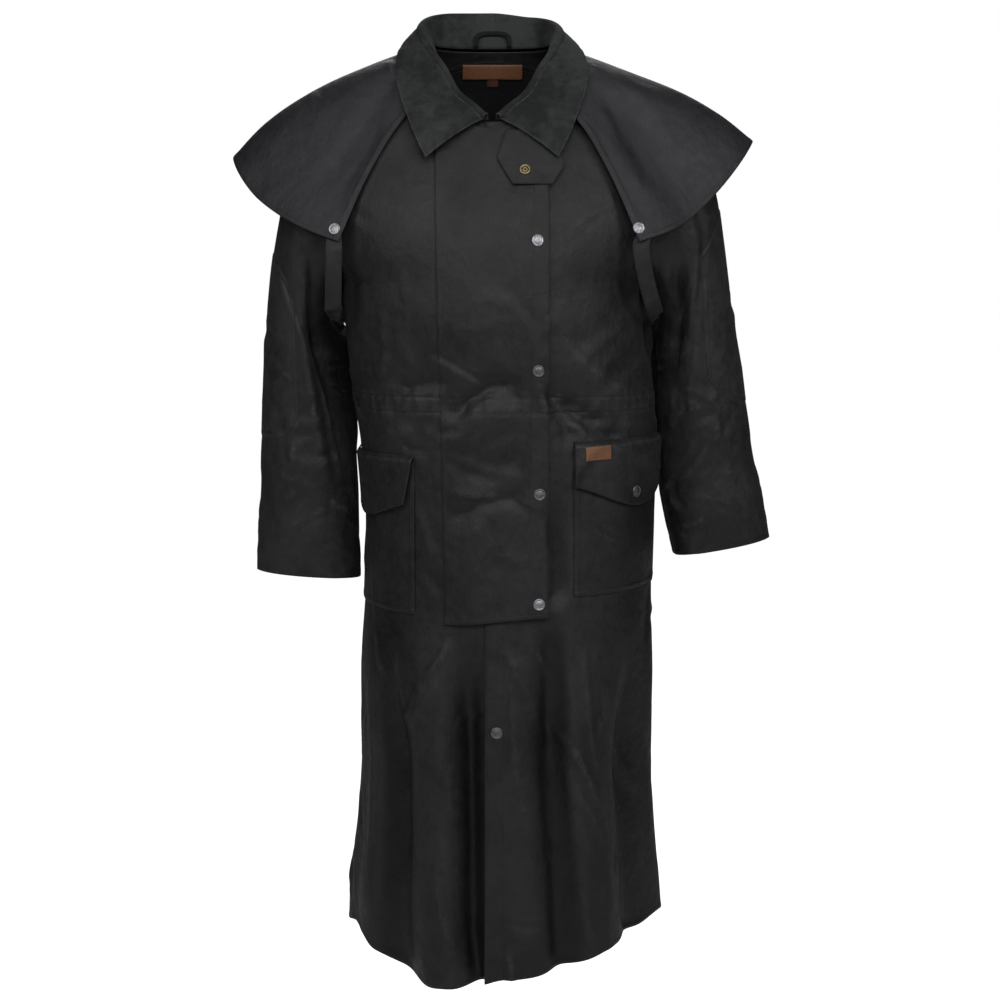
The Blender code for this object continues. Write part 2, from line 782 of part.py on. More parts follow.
def cape_point(side, way, out):
    """Points of the plain cape on one side: way from front edge to centre back, out to the hem."""
    way, out = np.broadcast_arrays(np.asarray(way, float), np.asarray(out, float))
    near_front = (1 - np.clip(way, 0, 1)) ** 2
    turn = smooth(CAPE, "way", "turn", way)
    rise = 0.0
    inward = 0.0
    if side > 0:
        turn = turn - LEFT_CAPE_TURN * near_front
        tip = rise_and_fall(LEFT_CAPE_RISE_WAYS, way)
        rise = tip * (LEFT_CAPE_RAISE * out ** 2 - LEFT_CAPE_DROP * np.sin(np.pi * out))
        rise = rise - LEFT_CAPE_SINK * near_front * (1 - out) ** 2
        inward = LEFT_CAPE_IN * rise_and_fall(LEFT_CAPE_IN_WAYS, way) * out ** 3
    radii = np.stack([smooth(CAPE, "way", "r%d" % i, way) for i in range(5)])
    heights = np.stack([smooth(CAPE, "way", "z%d" % i, way) for i in range(5)])
    radius = ring_curve(radii, out) - inward
    height = ring_curve(heights, out) + rise
    angle = np.radians(turn)
    return np.stack([side * radius * np.sin(angle), -radius * np.cos(angle), height], axis=-1)


def ring_curve(values, out):
    """A Catmull-Rom curve through five evenly spaced values."""
    spans = len(values) - 1
    place = np.clip(out, 0, 1) * spans
    i = np.minimum(place.astype(int), spans - 1)
    t = place - i
    padded = np.concatenate([2 * values[:1] - values[1:2], values, 2 * values[-1:] - values[-2:-1]])
    a, b, c, d = (np.take_along_axis(padded, (i + k)[None], 0)[0] for k in range(4))
    even = 2 * b + (2 * a - 5 * b + 4 * c - d) * t ** 2
    return 0.5 * (even + (c - a) * t + (3 * b - a - 3 * c + d) * t ** 3)


def cape(side, way, out, lift=0.0):
    """Points of the folded cape, moved out by lift."""
    way, out = np.broadcast_arrays(np.asarray(way, float), np.asarray(out, float))

    def surface(a, b):
        return cape_point(side, a, b)

    out_way = normals(surface, np.clip(way, 0.01, 0.99), np.clip(out, 0.01, 0.99), 0.01, 0.01, side)
    rows = LEFT_CAPE_FOLDS if side > 0 else RIGHT_CAPE_FOLDS
    folds = fold_depth(rows, way, out * CAPE_LENGTH, CAPE_WAY)
    return surface(way, out) + out_way * (folds + lift)[..., None]


# Collar: one sheet from the neck seam up the stand, over the roll and down the fall


def neck_edge(place):
    """Points of the neckline: place is 0 at the centre front, 1 at the shoulder, 2 at the back."""
    angle = place * math.pi / 2
    x = NECK_HALF * np.sin(angle)
    drop = np.where(place < 1, front_neck_drop(x), back_neck_drop(x))
    half = body_half(drop)
    shape = BODY["shape"][0]
    filled = 1 - np.clip((x / half) ** shape, 0, 1)
    front = -smooth(BODY, "drop", "front", drop)
    back = smooth(BODY, "drop", "back", drop)
    y = np.where(place < 1, front, back) * filled ** (1 / shape)
    return np.stack([x, y, -drop], axis=-1)


def collar_section(side, way):
    """The collar's section at one place: a list of points from its seam to its outer edge."""
    neck = smooth(COLLAR, "way", "neck", way)
    inward = -math.sin(min(neck, 2 - neck) * math.pi / 2)
    seam = (neck_edge(neck) + COLLAR_SEAM_GAP * np.array([inward, 0, 1])) * np.array([side, 1, 1])
    sag = ease(*LEFT_COLLAR_START, way) * (1 - ease(*LEFT_COLLAR_STOP, way)) if side > 0 else 0.0
    roll = np.array([side * (smooth(COLLAR, "way", "roll_x", way) - LEFT_COLLAR_IN * sag),
                     smooth(COLLAR, "way", "roll_y", way),
                     smooth(COLLAR, "way", "roll_z", way) - LEFT_COLLAR_DOWN * sag])
    fall = np.array([side * (smooth(COLLAR, "way", "fall_x", way) - LEFT_COLLAR_IN * sag),
                     smooth(COLLAR, "way", "fall_y", way),
                     smooth(COLLAR, "way", "fall_z", way)])
    up = unit(roll - seam)
    flat = fall - roll
    out = unit(flat - up * np.dot(flat, up))
    middle = roll - up * ROLL_RADIUS
    angles = np.radians(ROLL_ANGLES)
    bend = [middle + ROLL_RADIUS * (math.sin(a) * up - math.cos(a) * out) for a in angles]
    swell = unit(np.cross(fall - roll, np.cross(up, out)))
    swell = swell if np.dot(swell, up + out) > 0 else -swell
    leaf = [bend[-1] * (1 - t) + fall * t + swell * COLLAR_SWELL * 4 * t * (1 - t) for t in LEAF_STEPS]
    stand = [seam * (1 - t) + bend[0] * t for t in STAND_STEPS]
    return np.array(stand + bend + leaf)


# Layers over the front


def no_lift(across, drop):
    return np.zeros(np.shape(drop))


def underlap_lift(across, drop):
    """The right front sinks in beside the overlap."""
    return fold_depth(UNDERLAP_FOLDS, across, drop, QUARTER_GIRTH)


def overlap_lift(across, drop):
    """How far the left front stands out where it laps over the right front."""
    x = plain_body(across, drop)[..., 0]
    return OVERLAP_LIFT * (1 - ease(OVERLAP_FADE_START, OVERLAP_FADE_END, x))


def flap_lift(across, drop):
    """How far the storm flap's face stands out from the body."""
    x = plain_body(across, drop)[..., 0]
    loose = ease(FLAP_SEWN_X, FLAP_LOOSE_X, x)
    chest = FLAP_CHEST_LIFT * (1 - ease(FLAP_CHEST_TOP, FLAP_CHEST_END, drop)) * (1 - loose)
    over_edge = FLAP_LAP_LIFT * ease(FLAP_SEWN_X, OVERLAP_EDGE - FLAP_LAP_INSET, x)
    free_edge = FLAP_FREE_LIFT * ease(FLAP_FREE_X, FLAP_EDGE, x)
    free_end = FLAP_END_LIFT * ease(FLAP_END_TOP, FLAP_END_DROP, drop)
    return LAYER + chest + over_edge + free_edge + free_end * loose


def flap_drops(line):
    """Rows of the storm flap along one line: its own upper rows, then the panel's waist rows."""
    top = FLAP_TOP
    for _ in range(10):
        x = float(plain_body(line(np.float64(top)), np.float64(top))[0])
        top = FLAP_TOP - FLAP_TOP_RISE * (x / FLAP_SEAM_X) ** 2
    upper = np.linspace(top, ARMPIT_DROP, FLAP_ROWS + 1)
    waist = np.linspace(ARMPIT_DROP, FLAP_END_DROP, WAIST_ROWS + 1)[1:]
    x = float(plain_body(line(np.float64(FLAP_END_DROP)), np.float64(FLAP_END_DROP))[0])
    waist[-1] = FLAP_RIGHT_END + (FLAP_LEFT_END - FLAP_RIGHT_END) * ease(FLAP_SEAM_X, FLAP_EDGE, x)
    return np.concatenate([upper, waist])


def lining_drops(line):
    """Rows of the back lining, from under the neckline down."""
    across = line(np.float64(0))
    x = float(plain_body(across, np.float64(0))[0])
    top = float(top_drop(across)) + LINING_TOP_INSET + LINING_SIDE_INSET * (x / LINING_HALF) ** 2
    return top + (LINING_END - top) * np.array(LINING_PARTS)


def patch_drops(first, last):
    """Rows of a patch: its ends and the panel's waist rows between them."""
    waist = np.linspace(ARMPIT_DROP, FLAP_END_DROP, WAIST_ROWS + 1)
    inner = waist[(waist > first + PATCH_ROW_GAP) & (waist < last - PATCH_ROW_GAP)]
    return np.concatenate([[first], inner, [last]])


def pocket_lift(top, bottom, front, far):
    """How far a pocket's face stands out: most in its middle."""

    def lift(across, drop):
        u = np.clip((across - front) / (far - front), 0, 1)
        v = np.clip((drop - top) / (bottom - top), 0, 1)
        return LAYER + POCKET_PUFF * 4 * u * (1 - u) * np.sin(v * math.pi)

    return lift


def pocket_flap_lift(top, front, far, rows, flare):
    """How far a pocket flap's face stands out: it clears the pocket and flares to its lower edge."""

    def lift(across, drop):
        u = np.clip((across - front) / (far - front), 0, 1)
        bottom = smooth(rows, "way", "drop", u)
        part = np.clip((drop - top) / (bottom - top), 0, 1)
        base = LAYER + (POCKET_FLAP_LIFT - LAYER) * ease(0, POCKET_FLAP_RISE, drop - top)
        return base + (flare * (1 - u) + POCKET_PUFF * 4 * u * (1 - u)) * part

    return lift


def pocket_flap_drops(top, rows, front, far):
    """Rows of a pocket flap, from its straight top edge to its pointed lower edge."""

    def drops(line):
        u = np.clip((float(line(np.float64(top))) - front) / (far - front), 0, 1)
        bottom = float(smooth(rows, "way", "drop", u))
        return top + (bottom - top) * np.array(POCKET_FLAP_PARTS)

    return drops


def tab_point(part, drop):
    """Points of the throat tab; part is 0 at its left edge and 1 at its right edge."""
    left = smooth(TAB, "drop", "left", drop)
    right = smooth(TAB, "drop", "right", drop)
    return body(across_at(left + (right - left) * part, drop), drop, TAB_LIFT)


def strap_grid(rows, side):
    """Points of a cape strap, two columns wide."""
    middle = np.stack([side * rows["x"], rows["y"], rows["z"]], axis=-1)
    wide = unit(np.stack([side * rows["wide_x"], rows["wide_y"], rows["wide_z"]], axis=-1))
    edges = [middle + wide * STRAP_WIDTH / 2 * way for way in (-1, 1)]
    inner = cape(side, STRAP_ENDS["inner_way"], STRAP_ENDS["inner_out"], -STRAP_TUCK)
    outer = cape(side, STRAP_ENDS["outer_way"], STRAP_ENDS["outer_out"], -STRAP_TUCK)
    ends = np.stack([inner, outer], axis=1)
    grid = np.concatenate([ends[:2], np.stack(edges, axis=1), ends[2:]])
    return grid if side > 0 else grid[:, ::-1]


def elbow_grid(side):
    """Points of an elbow patch, on the sleeve's own columns."""
    rows = LEFT_ELBOW if side > 0 else RIGHT_ELBOW
    first, last = rows["turn"][0], rows["turn"][-1]
    step = 360 / SLEEVE_COLUMNS
    turns = np.append(np.arange(first, last, step), last)[::-side]
    top = smooth(rows, "turn", "top", turns)
    bottom = smooth(rows, "turn", "bottom", turns)
    along = top + (bottom - top) * np.linspace(0, 1, ELBOW_ROWS + 1)[:, None]
    return sleeve(side, np.broadcast_to(turns, along.shape), along, ELBOW_LIFT)


def tab_grid():
    """Points of the throat tab."""
    columns = [tab_point(part, TAB["drop"]) for part in np.linspace(0, 1, TAB_COLUMNS + 1)]
    return np.stack(columns, axis=1)


def cut_grid(left, right, top, bottom, tilt, columns, rows, lift):
    """Points of a small rectangle on the front, its right side higher by tilt."""
    across_part = np.linspace(0, 1, columns + 1)[None, :]
    down_part = np.linspace(0, 1, rows + 1)[:, None]
    x = left + (right - left) * across_part + 0 * down_part
    drop = top + (bottom - top) * down_part - tilt * (across_part - 0.5)
    across = across_at(x, drop)
    return body(across, drop, lift(across, drop))


def inside_grid(half, top, bottom, columns, rows, lift):
    """Points of a rectangle inside the back of the neck, seen from the front."""
    x = np.linspace(half, -half, columns + 1)[None, :]
    drop = np.linspace(top, bottom, rows + 1)[:, None]
    x, drop = np.broadcast_arrays(x, drop)
    return body(2 - across_at(x, drop), drop, lift)


def loop_grid():
    """Points of the hanger loop: half a ring lying on the inside of the collar's stand."""
    rows = []
    for angle in np.radians(np.linspace(0, 180, LOOP_STEPS + 1)):
        pair = []
        for inset in (0, LOOP_WIDTH):
            x = (LOOP_HALF - inset) * math.cos(angle)
            height = (LOOP_HEIGHT - inset) * math.sin(angle)
            way = 1 - LOOP_WAY_RATE * abs(x)
            section = collar_section(1 if x >= 0 else -1, way)
            rise = unit(section[STAND_TOP] - section[0])
            inward = unit(np.cross(rise, np.array([1.0, 0, 0])))
            base = section[0] + rise * (LOOP_FOOT + height)
            pair.append(np.array([x, base[1], base[2]]) + inward * LOOP_LIFT)
        rows.append(pair)
    return np.array(rows)


# Making meshes


def material(name, color, roughness, metallic=0.0):
    """A plain Principled BSDF material."""
    made = bpy.data.materials.new(name)
    made.use_nodes = True
    shader = made.node_tree.nodes["Principled BSDF"]
    shader.inputs["Base Color"].default_value = (*color, 1)
    shader.inputs["Roughness"].default_value = roughness
    shader.inputs["Metallic"].default_value = metallic
    return made


def place(name, mesh, finish, collection):
    made = bpy.data.objects.new(name, mesh)
    mesh.materials.append(finish)
    mesh.shade_smooth()
    mesh.set_sharp_from_angle(angle=math.radians(40))
    collection.objects.link(made)
    return made


def sheet(name, grid, wall, finish, collection, tube=False):
    """An open sheet through a grid of points, face out, thickened inward. A tube closes on itself."""
    rows, columns = grid.shape[:2]
    last = columns if tube else columns - 1
    faces = []
    for r in range(rows - 1):
        for c in range(last):
            a = r * columns + c
            b = r * columns + (c + 1) % columns
            faces.append((a, a + columns, b + columns))
            faces.append((a, b + columns, b))
    mesh = bpy.data.meshes.new(name)
    mesh.from_pydata([tuple(point) for point in grid.reshape(-1, 3) * MM], [], faces)
    made = place(name, mesh, finish, collection)
    thick = made.modifiers.new("Cloth", "SOLIDIFY")
    thick.thickness = wall * MM
    thick.offset = -1
    return made


def snap(name, point, out, radius, height, finish, collection):
    """A snap's cap: a bevelled disc sitting on the cloth at point, facing out."""
    mesh = bpy.data.meshes.new(name)
    shape = bmesh.new()
    bmesh.ops.create_cone(shape, cap_ends=True, segments=SNAP_SIDES, radius1=radius * MM,
                          radius2=radius * MM, depth=height * MM)
    turn = Vector(out).to_track_quat("Z", "Y").to_matrix().to_4x4()
    seat = Vector((point + out * (height / 2 + SNAP_SEAT)) * MM)
    bmesh.ops.transform(shape, matrix=Matrix.Translation(seat) @ turn, verts=shape.verts)
    shape.to_mesh(mesh)
    shape.free()
    made = place(name, mesh, finish, collection)
    edge = made.modifiers.new("Edge", "BEVEL")
    edge.width = SNAP_BEVEL * MM
    edge.limit_method = "ANGLE"
    edge.angle_limit = math.radians(60)
    return made


def body_snap(name, x, drop, lift, sink, radius, height, finish, collection):
    """A snap on a layer of the body; sink seats it where a fold lies under it."""
    across = across_at(x, drop)
    point = body(across, drop, lift(across, drop) - sink)
    out = normals(plain_body, across, np.float64(drop), 0.01, 2.0, 1)
    return snap(name, point, out, radius, height, finish, collection)


def main():
    for old in list(bpy.data.objects):
        bpy.data.objects.remove(old, do_unlink=True)
    coat = bpy.data.collections.new("duster_coat")
    bpy.context.scene.collection.children.link(coat)

    waxed = material("waxed_cotton", (0.032, 0.032, 0.035), 0.55)
    collar_cloth = material("collar_cloth", (0.036, 0.038, 0.038), 0.8)
    lining_cloth = material("lining_cloth", (0.012, 0.013, 0.016), 0.8)
    leather = material("leather", (0.25, 0.09, 0.04), 0.6)
    nickel = material("nickel", (0.3, 0.3, 0.31), 0.35, 1.0)
    brass = material("brass", (0.55, 0.42, 0.2), 0.35, 1.0)

    left_side = side_line(1)
    right_side = side_line(-1, -SEAM_TRIM)
    overlap = fixed_line(OVERLAP_EDGE)
    underlap = fixed_line(UNDERLAP_EDGE)
    flap_edge = fixed_line(FLAP_EDGE)

    left_panel = fan(flap_edge, left_side, LEFT_FRONT_COLUMNS)
    left_lap = fan(underlap, flap_edge, LAP_COLUMNS)
    left_lines = [overlap] + left_lap + left_panel + [left_side]
    sheet("front_left", body_grid(left_lines, overlap_lift, -1), BODY_WALL, waxed, coat)
    right_panel = fan(right_side, flap_seam_line, RIGHT_FRONT_COLUMNS)
    right_lap = fan(flap_seam_line, overlap, LAP_COLUMNS)
    right_lines = right_panel + right_lap + [overlap, underlap]
    sheet("front_right", body_grid(right_lines, underlap_lift, -1), BODY_WALL, waxed, coat)
    back_start = side_line(1, -SEAM_TRIM)
    back_end = side_line(3)
    back_lines = fan(back_start, back_end, BACK_COLUMNS) + [back_end]
    sheet("back_body", body_grid(back_lines, no_lift, 1), BODY_WALL, waxed, coat)

    turns = np.arange(SLEEVE_COLUMNS) * 360 / SLEEVE_COLUMNS
    alongs = np.linspace(0, 1, SLEEVE_ROWS + 1)
    for name, side in SIDES:
        grid = sleeve(side, turns[None, :] * -side, alongs[:, None])
        sheet("sleeve_" + name, grid, BODY_WALL, waxed, coat, tube=True)
        sheet("elbow_patch_" + name, elbow_grid(side), TRIM_WALL, waxed, coat)

    ways = np.linspace(0, 1, CAPE_COLUMNS + 1)
    outs = np.linspace(0, 1, CAPE_ROWS + 1)
    left = cape(1, ways[None, :], outs[:, None])
    right = cape(-1, ways[None, ::-1], outs[:, None])
    sheet("cape", np.concatenate([left, right[:, 1:]], axis=1), CAPE_WALL, waxed, coat)
    sheet("cape_strap_left", strap_grid(LEFT_STRAP, 1), TRIM_WALL, waxed, coat)
    sheet("cape_strap_right", strap_grid(RIGHT_STRAP, -1), TRIM_WALL, waxed, coat)

    places = np.linspace(0, 1, COLLAR_COLUMNS + 1)
    left = [collar_section(1, way) for way in places]
    right = [collar_section(-1, way) for way in places[::-1]]
    sheet("collar", np.stack(left + right[1:], axis=1)[::-1], COLLAR_WALL, collar_cloth, coat)

    flap_lines = right_lap + [overlap] + left_lap + [flap_edge]
    sheet("storm_flap", body_grid(flap_lines, flap_lift, 0, flap_drops), TRIM_WALL, waxed, coat)
    sheet("throat_tab", tab_grid(), TRIM_WALL, waxed, coat)

    top, front, far = LEFT_POCKET_TOP, LEFT_POCKET_FRONT, LEFT_POCKET_BACK
    left_far = between(flap_edge, left_side, POCKET_FAR)
    left_lines = [fixed_line(LEFT_POCKET_X)] + left_panel[2:] + [left_far]
    lift = pocket_lift(top, LEFT_POCKET_END, front, far)
    drops = patch_drops(top + POCKET_INSET, LEFT_POCKET_END)
    grid = body_grid(left_lines, lift, 0, lambda line: drops)
    sheet("pocket_left", grid, TRIM_WALL, waxed, coat)
    left_flap_lift = pocket_flap_lift(top, front, far, LEFT_POCKET_FLAP, LEFT_FLARE)
    flap_rows = pocket_flap_drops(top, LEFT_POCKET_FLAP, front, far)
    grid = body_grid(left_lines, left_flap_lift, 0, flap_rows)
    sheet("pocket_flap_left", grid, TRIM_WALL, waxed, coat)

    top, front, far = RIGHT_POCKET_TOP, RIGHT_POCKET_FRONT, RIGHT_POCKET_BACK
    right_far = between(right_side, flap_seam_line, 1 - POCKET_FAR)
    right_lines = [right_far] + right_panel[1:-1] + [fixed_line(RIGHT_POCKET_X)]
    lift = pocket_lift(top, RIGHT_POCKET_END, front, far)
    inner_drops = patch_drops(top + POCKET_INSET, RIGHT_POCKET_END)
    grid = body_grid(right_lines, lift, 0, lambda line: inner_drops)
    sheet("pocket_right", grid, TRIM_WALL, waxed, coat)
    right_flap_lift = pocket_flap_lift(top, front, far, RIGHT_POCKET_FLAP, RIGHT_FLARE)
    flap_rows = pocket_flap_drops(top, RIGHT_POCKET_FLAP, front, far)
    slanted = slanted_line(RIGHT_POCKET_X, RIGHT_FLAP_SLANT, top)
    flap_lines = [right_far] + right_panel[1:-1] + [slanted]
    grid = body_grid(flap_lines, right_flap_lift, 0, flap_rows)
    sheet("pocket_flap_right", grid, TRIM_WALL, waxed, coat)

    def label_lift(across, drop):
        return left_flap_lift(across, drop) + LEATHER_LIFT + LABEL_CLEAR

    label = cut_grid(LABEL_LEFT, LABEL_RIGHT, LABEL_TOP, LABEL_END, LABEL_TILT, LABEL_COLUMNS, LABEL_ROWS,
                     label_lift)
    sheet("pocket_label", label, LEATHER_WALL, leather, coat)

    lining_x = np.linspace(LINING_HALF, -LINING_HALF, LINING_COLUMNS + 1)
    lining_lines = [back_line(x) for x in lining_x]
    lining = body_grid(lining_lines, lambda across, drop: LINING_LIFT, 1, lining_drops)
    sheet("back_lining", lining, LINING_WALL, lining_cloth, coat)
    label = inside_grid(NECK_LABEL_HALF, NECK_LABEL_TOP, NECK_LABEL_END, NECK_LABEL_COLUMNS, LABEL_ROWS,
                        LABEL_LIFT)
    sheet("neck_label", label, LEATHER_WALL, leather, coat)
    sheet("hanger_loop", loop_grid(), LOOP_WALL, waxed, coat)

    for i, name in enumerate(FRONT_SNAP_NAMES):
        lift = overlap_lift if name == "snap_overlap" else flap_lift
        x, drop, sink = (FRONT_SNAPS[key][i] for key in FRONT_SNAPS)
        body_snap(name, x, drop, lift, sink, SNAP_RADIUS, SNAP_HEIGHT, nickel, coat)
    body_snap("snap_throat", THROAT_SNAP_X, THROAT_SNAP_DROP, lambda across, drop: TAB_LIFT, 0.0,
              RING_RADIUS, RING_HEIGHT, brass, coat)
    body_snap("snap_pocket_left", LEFT_SNAP_X, LEFT_SNAP_DROP, left_flap_lift, 0.0,
              SNAP_RADIUS, SNAP_HEIGHT, nickel, coat)
    for name, side in SIDES:
        way, out = CAPE_SNAP[name]
        point = cape(side, way, out, CAPE_SNAP_LIFT)
        facing_way = normals(lambda a, b: cape_point(side, a, b), way, out, 0.01, 0.01, side)
        snap("snap_cape_" + name, point, facing_way, SNAP_RADIUS, SNAP_HEIGHT, nickel, coat)


main()
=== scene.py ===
"""The looks of the duster coat: fine cloth shells, stitching, fasteners and finishes.

Each shell lies on the form of the solid that it replaces. Sizes are in millimetres and become
metres where a mesh is made. The origin is midway between the wearer's shoulders at the height of
the neck seam, x runs to the wearer's left, y to the back and z up. "drop" is the distance below
the origin. "across" runs round the body: 0 is the centre front, 1 the wearer's left side, 2 the
centre back and -1 or 3 the wearer's right side. Left and right are the wearer's.
"""

import math
from functools import partial

import bpy
import numpy as np
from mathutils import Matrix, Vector


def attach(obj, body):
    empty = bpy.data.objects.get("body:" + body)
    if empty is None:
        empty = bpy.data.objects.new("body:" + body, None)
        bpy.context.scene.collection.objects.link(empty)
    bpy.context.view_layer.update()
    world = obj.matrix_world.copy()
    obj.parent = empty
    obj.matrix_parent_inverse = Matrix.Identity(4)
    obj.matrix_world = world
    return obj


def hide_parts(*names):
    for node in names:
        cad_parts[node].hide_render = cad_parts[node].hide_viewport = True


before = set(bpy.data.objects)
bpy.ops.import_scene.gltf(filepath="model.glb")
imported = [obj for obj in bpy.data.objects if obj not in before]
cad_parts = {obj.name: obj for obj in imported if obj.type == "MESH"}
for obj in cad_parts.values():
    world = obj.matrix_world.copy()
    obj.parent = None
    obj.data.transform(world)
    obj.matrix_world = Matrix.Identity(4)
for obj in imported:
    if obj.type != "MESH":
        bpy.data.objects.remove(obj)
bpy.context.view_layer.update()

MM = 0.001

# Cloth thicknesses and the gaps between layers
BODY_WALL = 1.6
TRIM_WALL = 1.5
COLLAR_WALL = 1.8
LINING_WALL = 1.0
LEATHER_WALL = 1.2
LAYER_GAP = 0.6
SEAM_TRIM = 0.0015
SHOULDER_SEAM_GAP = 0.5

# Neck opening and shoulder line
NECK_HALF = 80.0
NECK_SIDE_DROP = -14.0
NECK_FRONT_DROP = 88.0
NECK_BACK_DROP = -15.0
NECK_CURVE = 2.4
SHOULDER_HALF = 205.0
SHOULDER_DROP = 34.0
ARMPIT_DROP = 290.0
HEM_DROP = 1175.0
SIDE_TWIST = -0.05
SIDE_TWIST_RUN = 140.0
FOLDS_FULL_DROP = 150.0
SIDES = (("left", 1), ("right", -1))

# Where the storm flap's lower end hangs free and the panels' level rows stop
FLAP_END_DROP = 720.0

# Fronts and storm flap, as distances from the middle of the neck
OVERLAP_EDGE = -9.0
UNDERLAP_EDGE = 14.0
FLAP_EDGE = 71.0
OVERLAP_LIFT = 2.3
OVERLAP_FADE_START = 60.0
OVERLAP_FADE_END = 120.0
QUARTER_GIRTH = 300.0

# Storm flap: its top edge at the middle and how much higher it is at its sides, its lower edge
FLAP_TOP = 97.0
FLAP_TOP_RISE = 40.0
FLAP_RIGHT_END = 718.0
FLAP_LEFT_END = 707.0
FLAP_SEAM_X = -72.0
FLAP_SEAM_SHIFT = 12.0
FLAP_SHIFT_TOP = 60.0
FLAP_SHIFT_END = 760.0

# How far the storm flap stands out: more at the chest, over the front's edge, at its own free edge
# and towards its lower end, each between two places
FLAP_SEWN_X = -66.0
FLAP_LOOSE_X = -20.0
FLAP_CHEST_LIFT = 1.0
FLAP_CHEST_TOP = 100.0
FLAP_CHEST_END = 220.0
FLAP_LAP_LIFT = 3.0
FLAP_LAP_INSET = 8.0
FLAP_FREE_LIFT = 2.0
FLAP_FREE_X = 20.0
FLAP_END_LIFT = 3.0
FLAP_END_TOP = 560.0

# Layers that lie on a panel: how far their outer face is from it
LAYER = TRIM_WALL + LAYER_GAP
POCKET_PUFF = 3.0
POCKET_FLAP_LIFT = 2 * LAYER + 2.4
POCKET_FLAP_RISE = 8.0
TAB_LIFT = 9.2
LEATHER_LIFT = LEATHER_WALL + LAYER_GAP
LINING_LIFT = -4.8
LABEL_LIFT = -6.4
LINING_HALF = 112.0
LINING_TOP_INSET = 8.0
LINING_SIDE_INSET = 34.0
LINING_END = 170.0

# Pockets: the distance of the front edge from the middle, top and lower edge, where the front and
# far edge lie round the body, how far the flap flares and how its front edge slants
POCKETS = {
    1: dict(x=103.0, top=485.0, end=682.0, front=0.242, back=0.94, flare=1.5, slant=0.0),
    -1: dict(x=-98.0, top=505.0, end=708.0, front=-0.375, back=-1.03, flare=5.0, slant=0.14),
}
POCKET_FAR = 0.985
POCKET_INSET = 9.0

# Labels, and the place of the throat tab's snap
LABEL_LEFT = 115.0
LABEL_RIGHT = 147.0
LABEL_TOP = 492.0
LABEL_END = 510.0
LABEL_TILT = 1.7
LABEL_CLEAR = 0.1
NECK_LABEL_HALF = 41.0
NECK_LABEL_TOP = -2.0
NECK_LABEL_END = 17.0
THROAT_SNAP_X = 41.0
THROAT_SNAP_DROP = 150.0

# Hanger loop on the collar's stand
LOOP_HALF = 25.0
LOOP_HEIGHT = 22.0
LOOP_WIDTH = 6.0
LOOP_WALL = 1.5
LOOP_FOOT = 1.5
LOOP_LIFT = -3.6
LOOP_WAY_RATE = 0.004

# Cape straps
STRAP_WIDTH = 21.0
STRAP_TUCK = 2.9

# Sleeves
ARMHOLE_GAP = 1.3
SLEEVE_LENGTH = 660.0
SLEEVE_DEGREE = 1.1
SLEEVE_ROOT_PART = 0.3
SLEEVE_FOLD_PART = 0.12

# Cape
CAPE_LENGTH = 290.0
CAPE_WAY = 420.0
LEFT_CAPE_TURN = 4.0
LEFT_CAPE_RAISE = 20.0
LEFT_CAPE_DROP = 3.5
LEFT_CAPE_IN = 6.0
LEFT_CAPE_SINK = 3.0
LEFT_CAPE_RISE_WAYS = (0.05, 0.3, 0.6)
LEFT_CAPE_IN_WAYS = (0.06, 0.2, 0.32)
CAPE_WALL = 1.5

# Collar
COLLAR_SEAM_GAP = 3.0
ROLL_RADIUS = 3.4
ROLL_ANGLES = tuple(range(0, 181, 20))
COLLAR_SWELL = 4.0
LEFT_COLLAR_IN = 5.0
LEFT_COLLAR_DOWN = 5.0
LEFT_COLLAR_START = (0.45, 0.6)
LEFT_COLLAR_STOP = (0.86, 1.0)
STAND_STEPS = tuple(i / 10 for i in range(10))
LEAF_STEPS = tuple(i / 26 for i in range(1, 25)) + (0.94, 0.96, 0.975, 0.99, 1)

# Snap fasteners
FRONT_SNAP_NAMES = ("snap_flap_1", "snap_flap_2", "snap_flap_3", "snap_flap_4", "snap_overlap")
LEFT_SNAP_X = 178.0
LEFT_SNAP_DROP = 553.0
CAPE_SNAP = {"left": (0.01, 0.95), "right": (0.02, 0.96)}

# Lines of stitches, as distances from an edge
SINGLE = (2,)
DOUBLE = (2, 8)
OVERLAP_LINES = (2, 24)
FLAP_LINES = (2, 26)
FLAP_END_LINES = (6.5,)
HEM_LINES = (7,)
CAPE_FRONT_LINES = (2, 10)
CAPE_HEM_LINES = (2, 6)
FACING_LINES = (2, 9)
LABEL_LINES = (1.6,)
LOOP_LINES = (1.2,)

# Lengths and counts that the fine grids are divided by
FRONT_WIDTH = 320
BACK_WIDTH = 640
FLAP_SIZE = (140, 640)
POCKET_SIZE = (150, 200)
POCKET_FLAP_SIZE = (150, 80)
PATCH_LENGTH = 230
CAPE_HALF_GIRTH = 520
COLLAR_HALF_LENGTH = 300
COLLAR_PITCH = 3.4
TAB_WIDTH = 75
LABEL_PITCH = 1.2
STRAP_PITCH = 3
SLEEVE_COLUMNS = 110
STRAP_ROWS = 130
TAB_ROWS = 30
INSIDE_COLUMNS = 60
LOOP_COLUMNS = 7

# The fine mesh and its stitches
CLOTH_PITCH = 4.6
FINE_PITCH = 3.2
STITCH_STEP = 1.3
STITCH_GROOVE = 0.45
THREAD_PITCH = 3.4
THREAD_LENGTH = 2.7
THREAD_WIDTH = 0.8
THREAD_RISE = 0.4
FAR_FROM_SEAM = 60.0

# Waist casing: its two sewn lines, how deep they draw in and how high its puckers are
WAIST_LINES = (430.0, 449.0)
WAIST_GROOVE = 0.7
WAIST_PUCKER = 0.55
PUCKER_ABOVE = 14
PUCKER_BELOW = 10

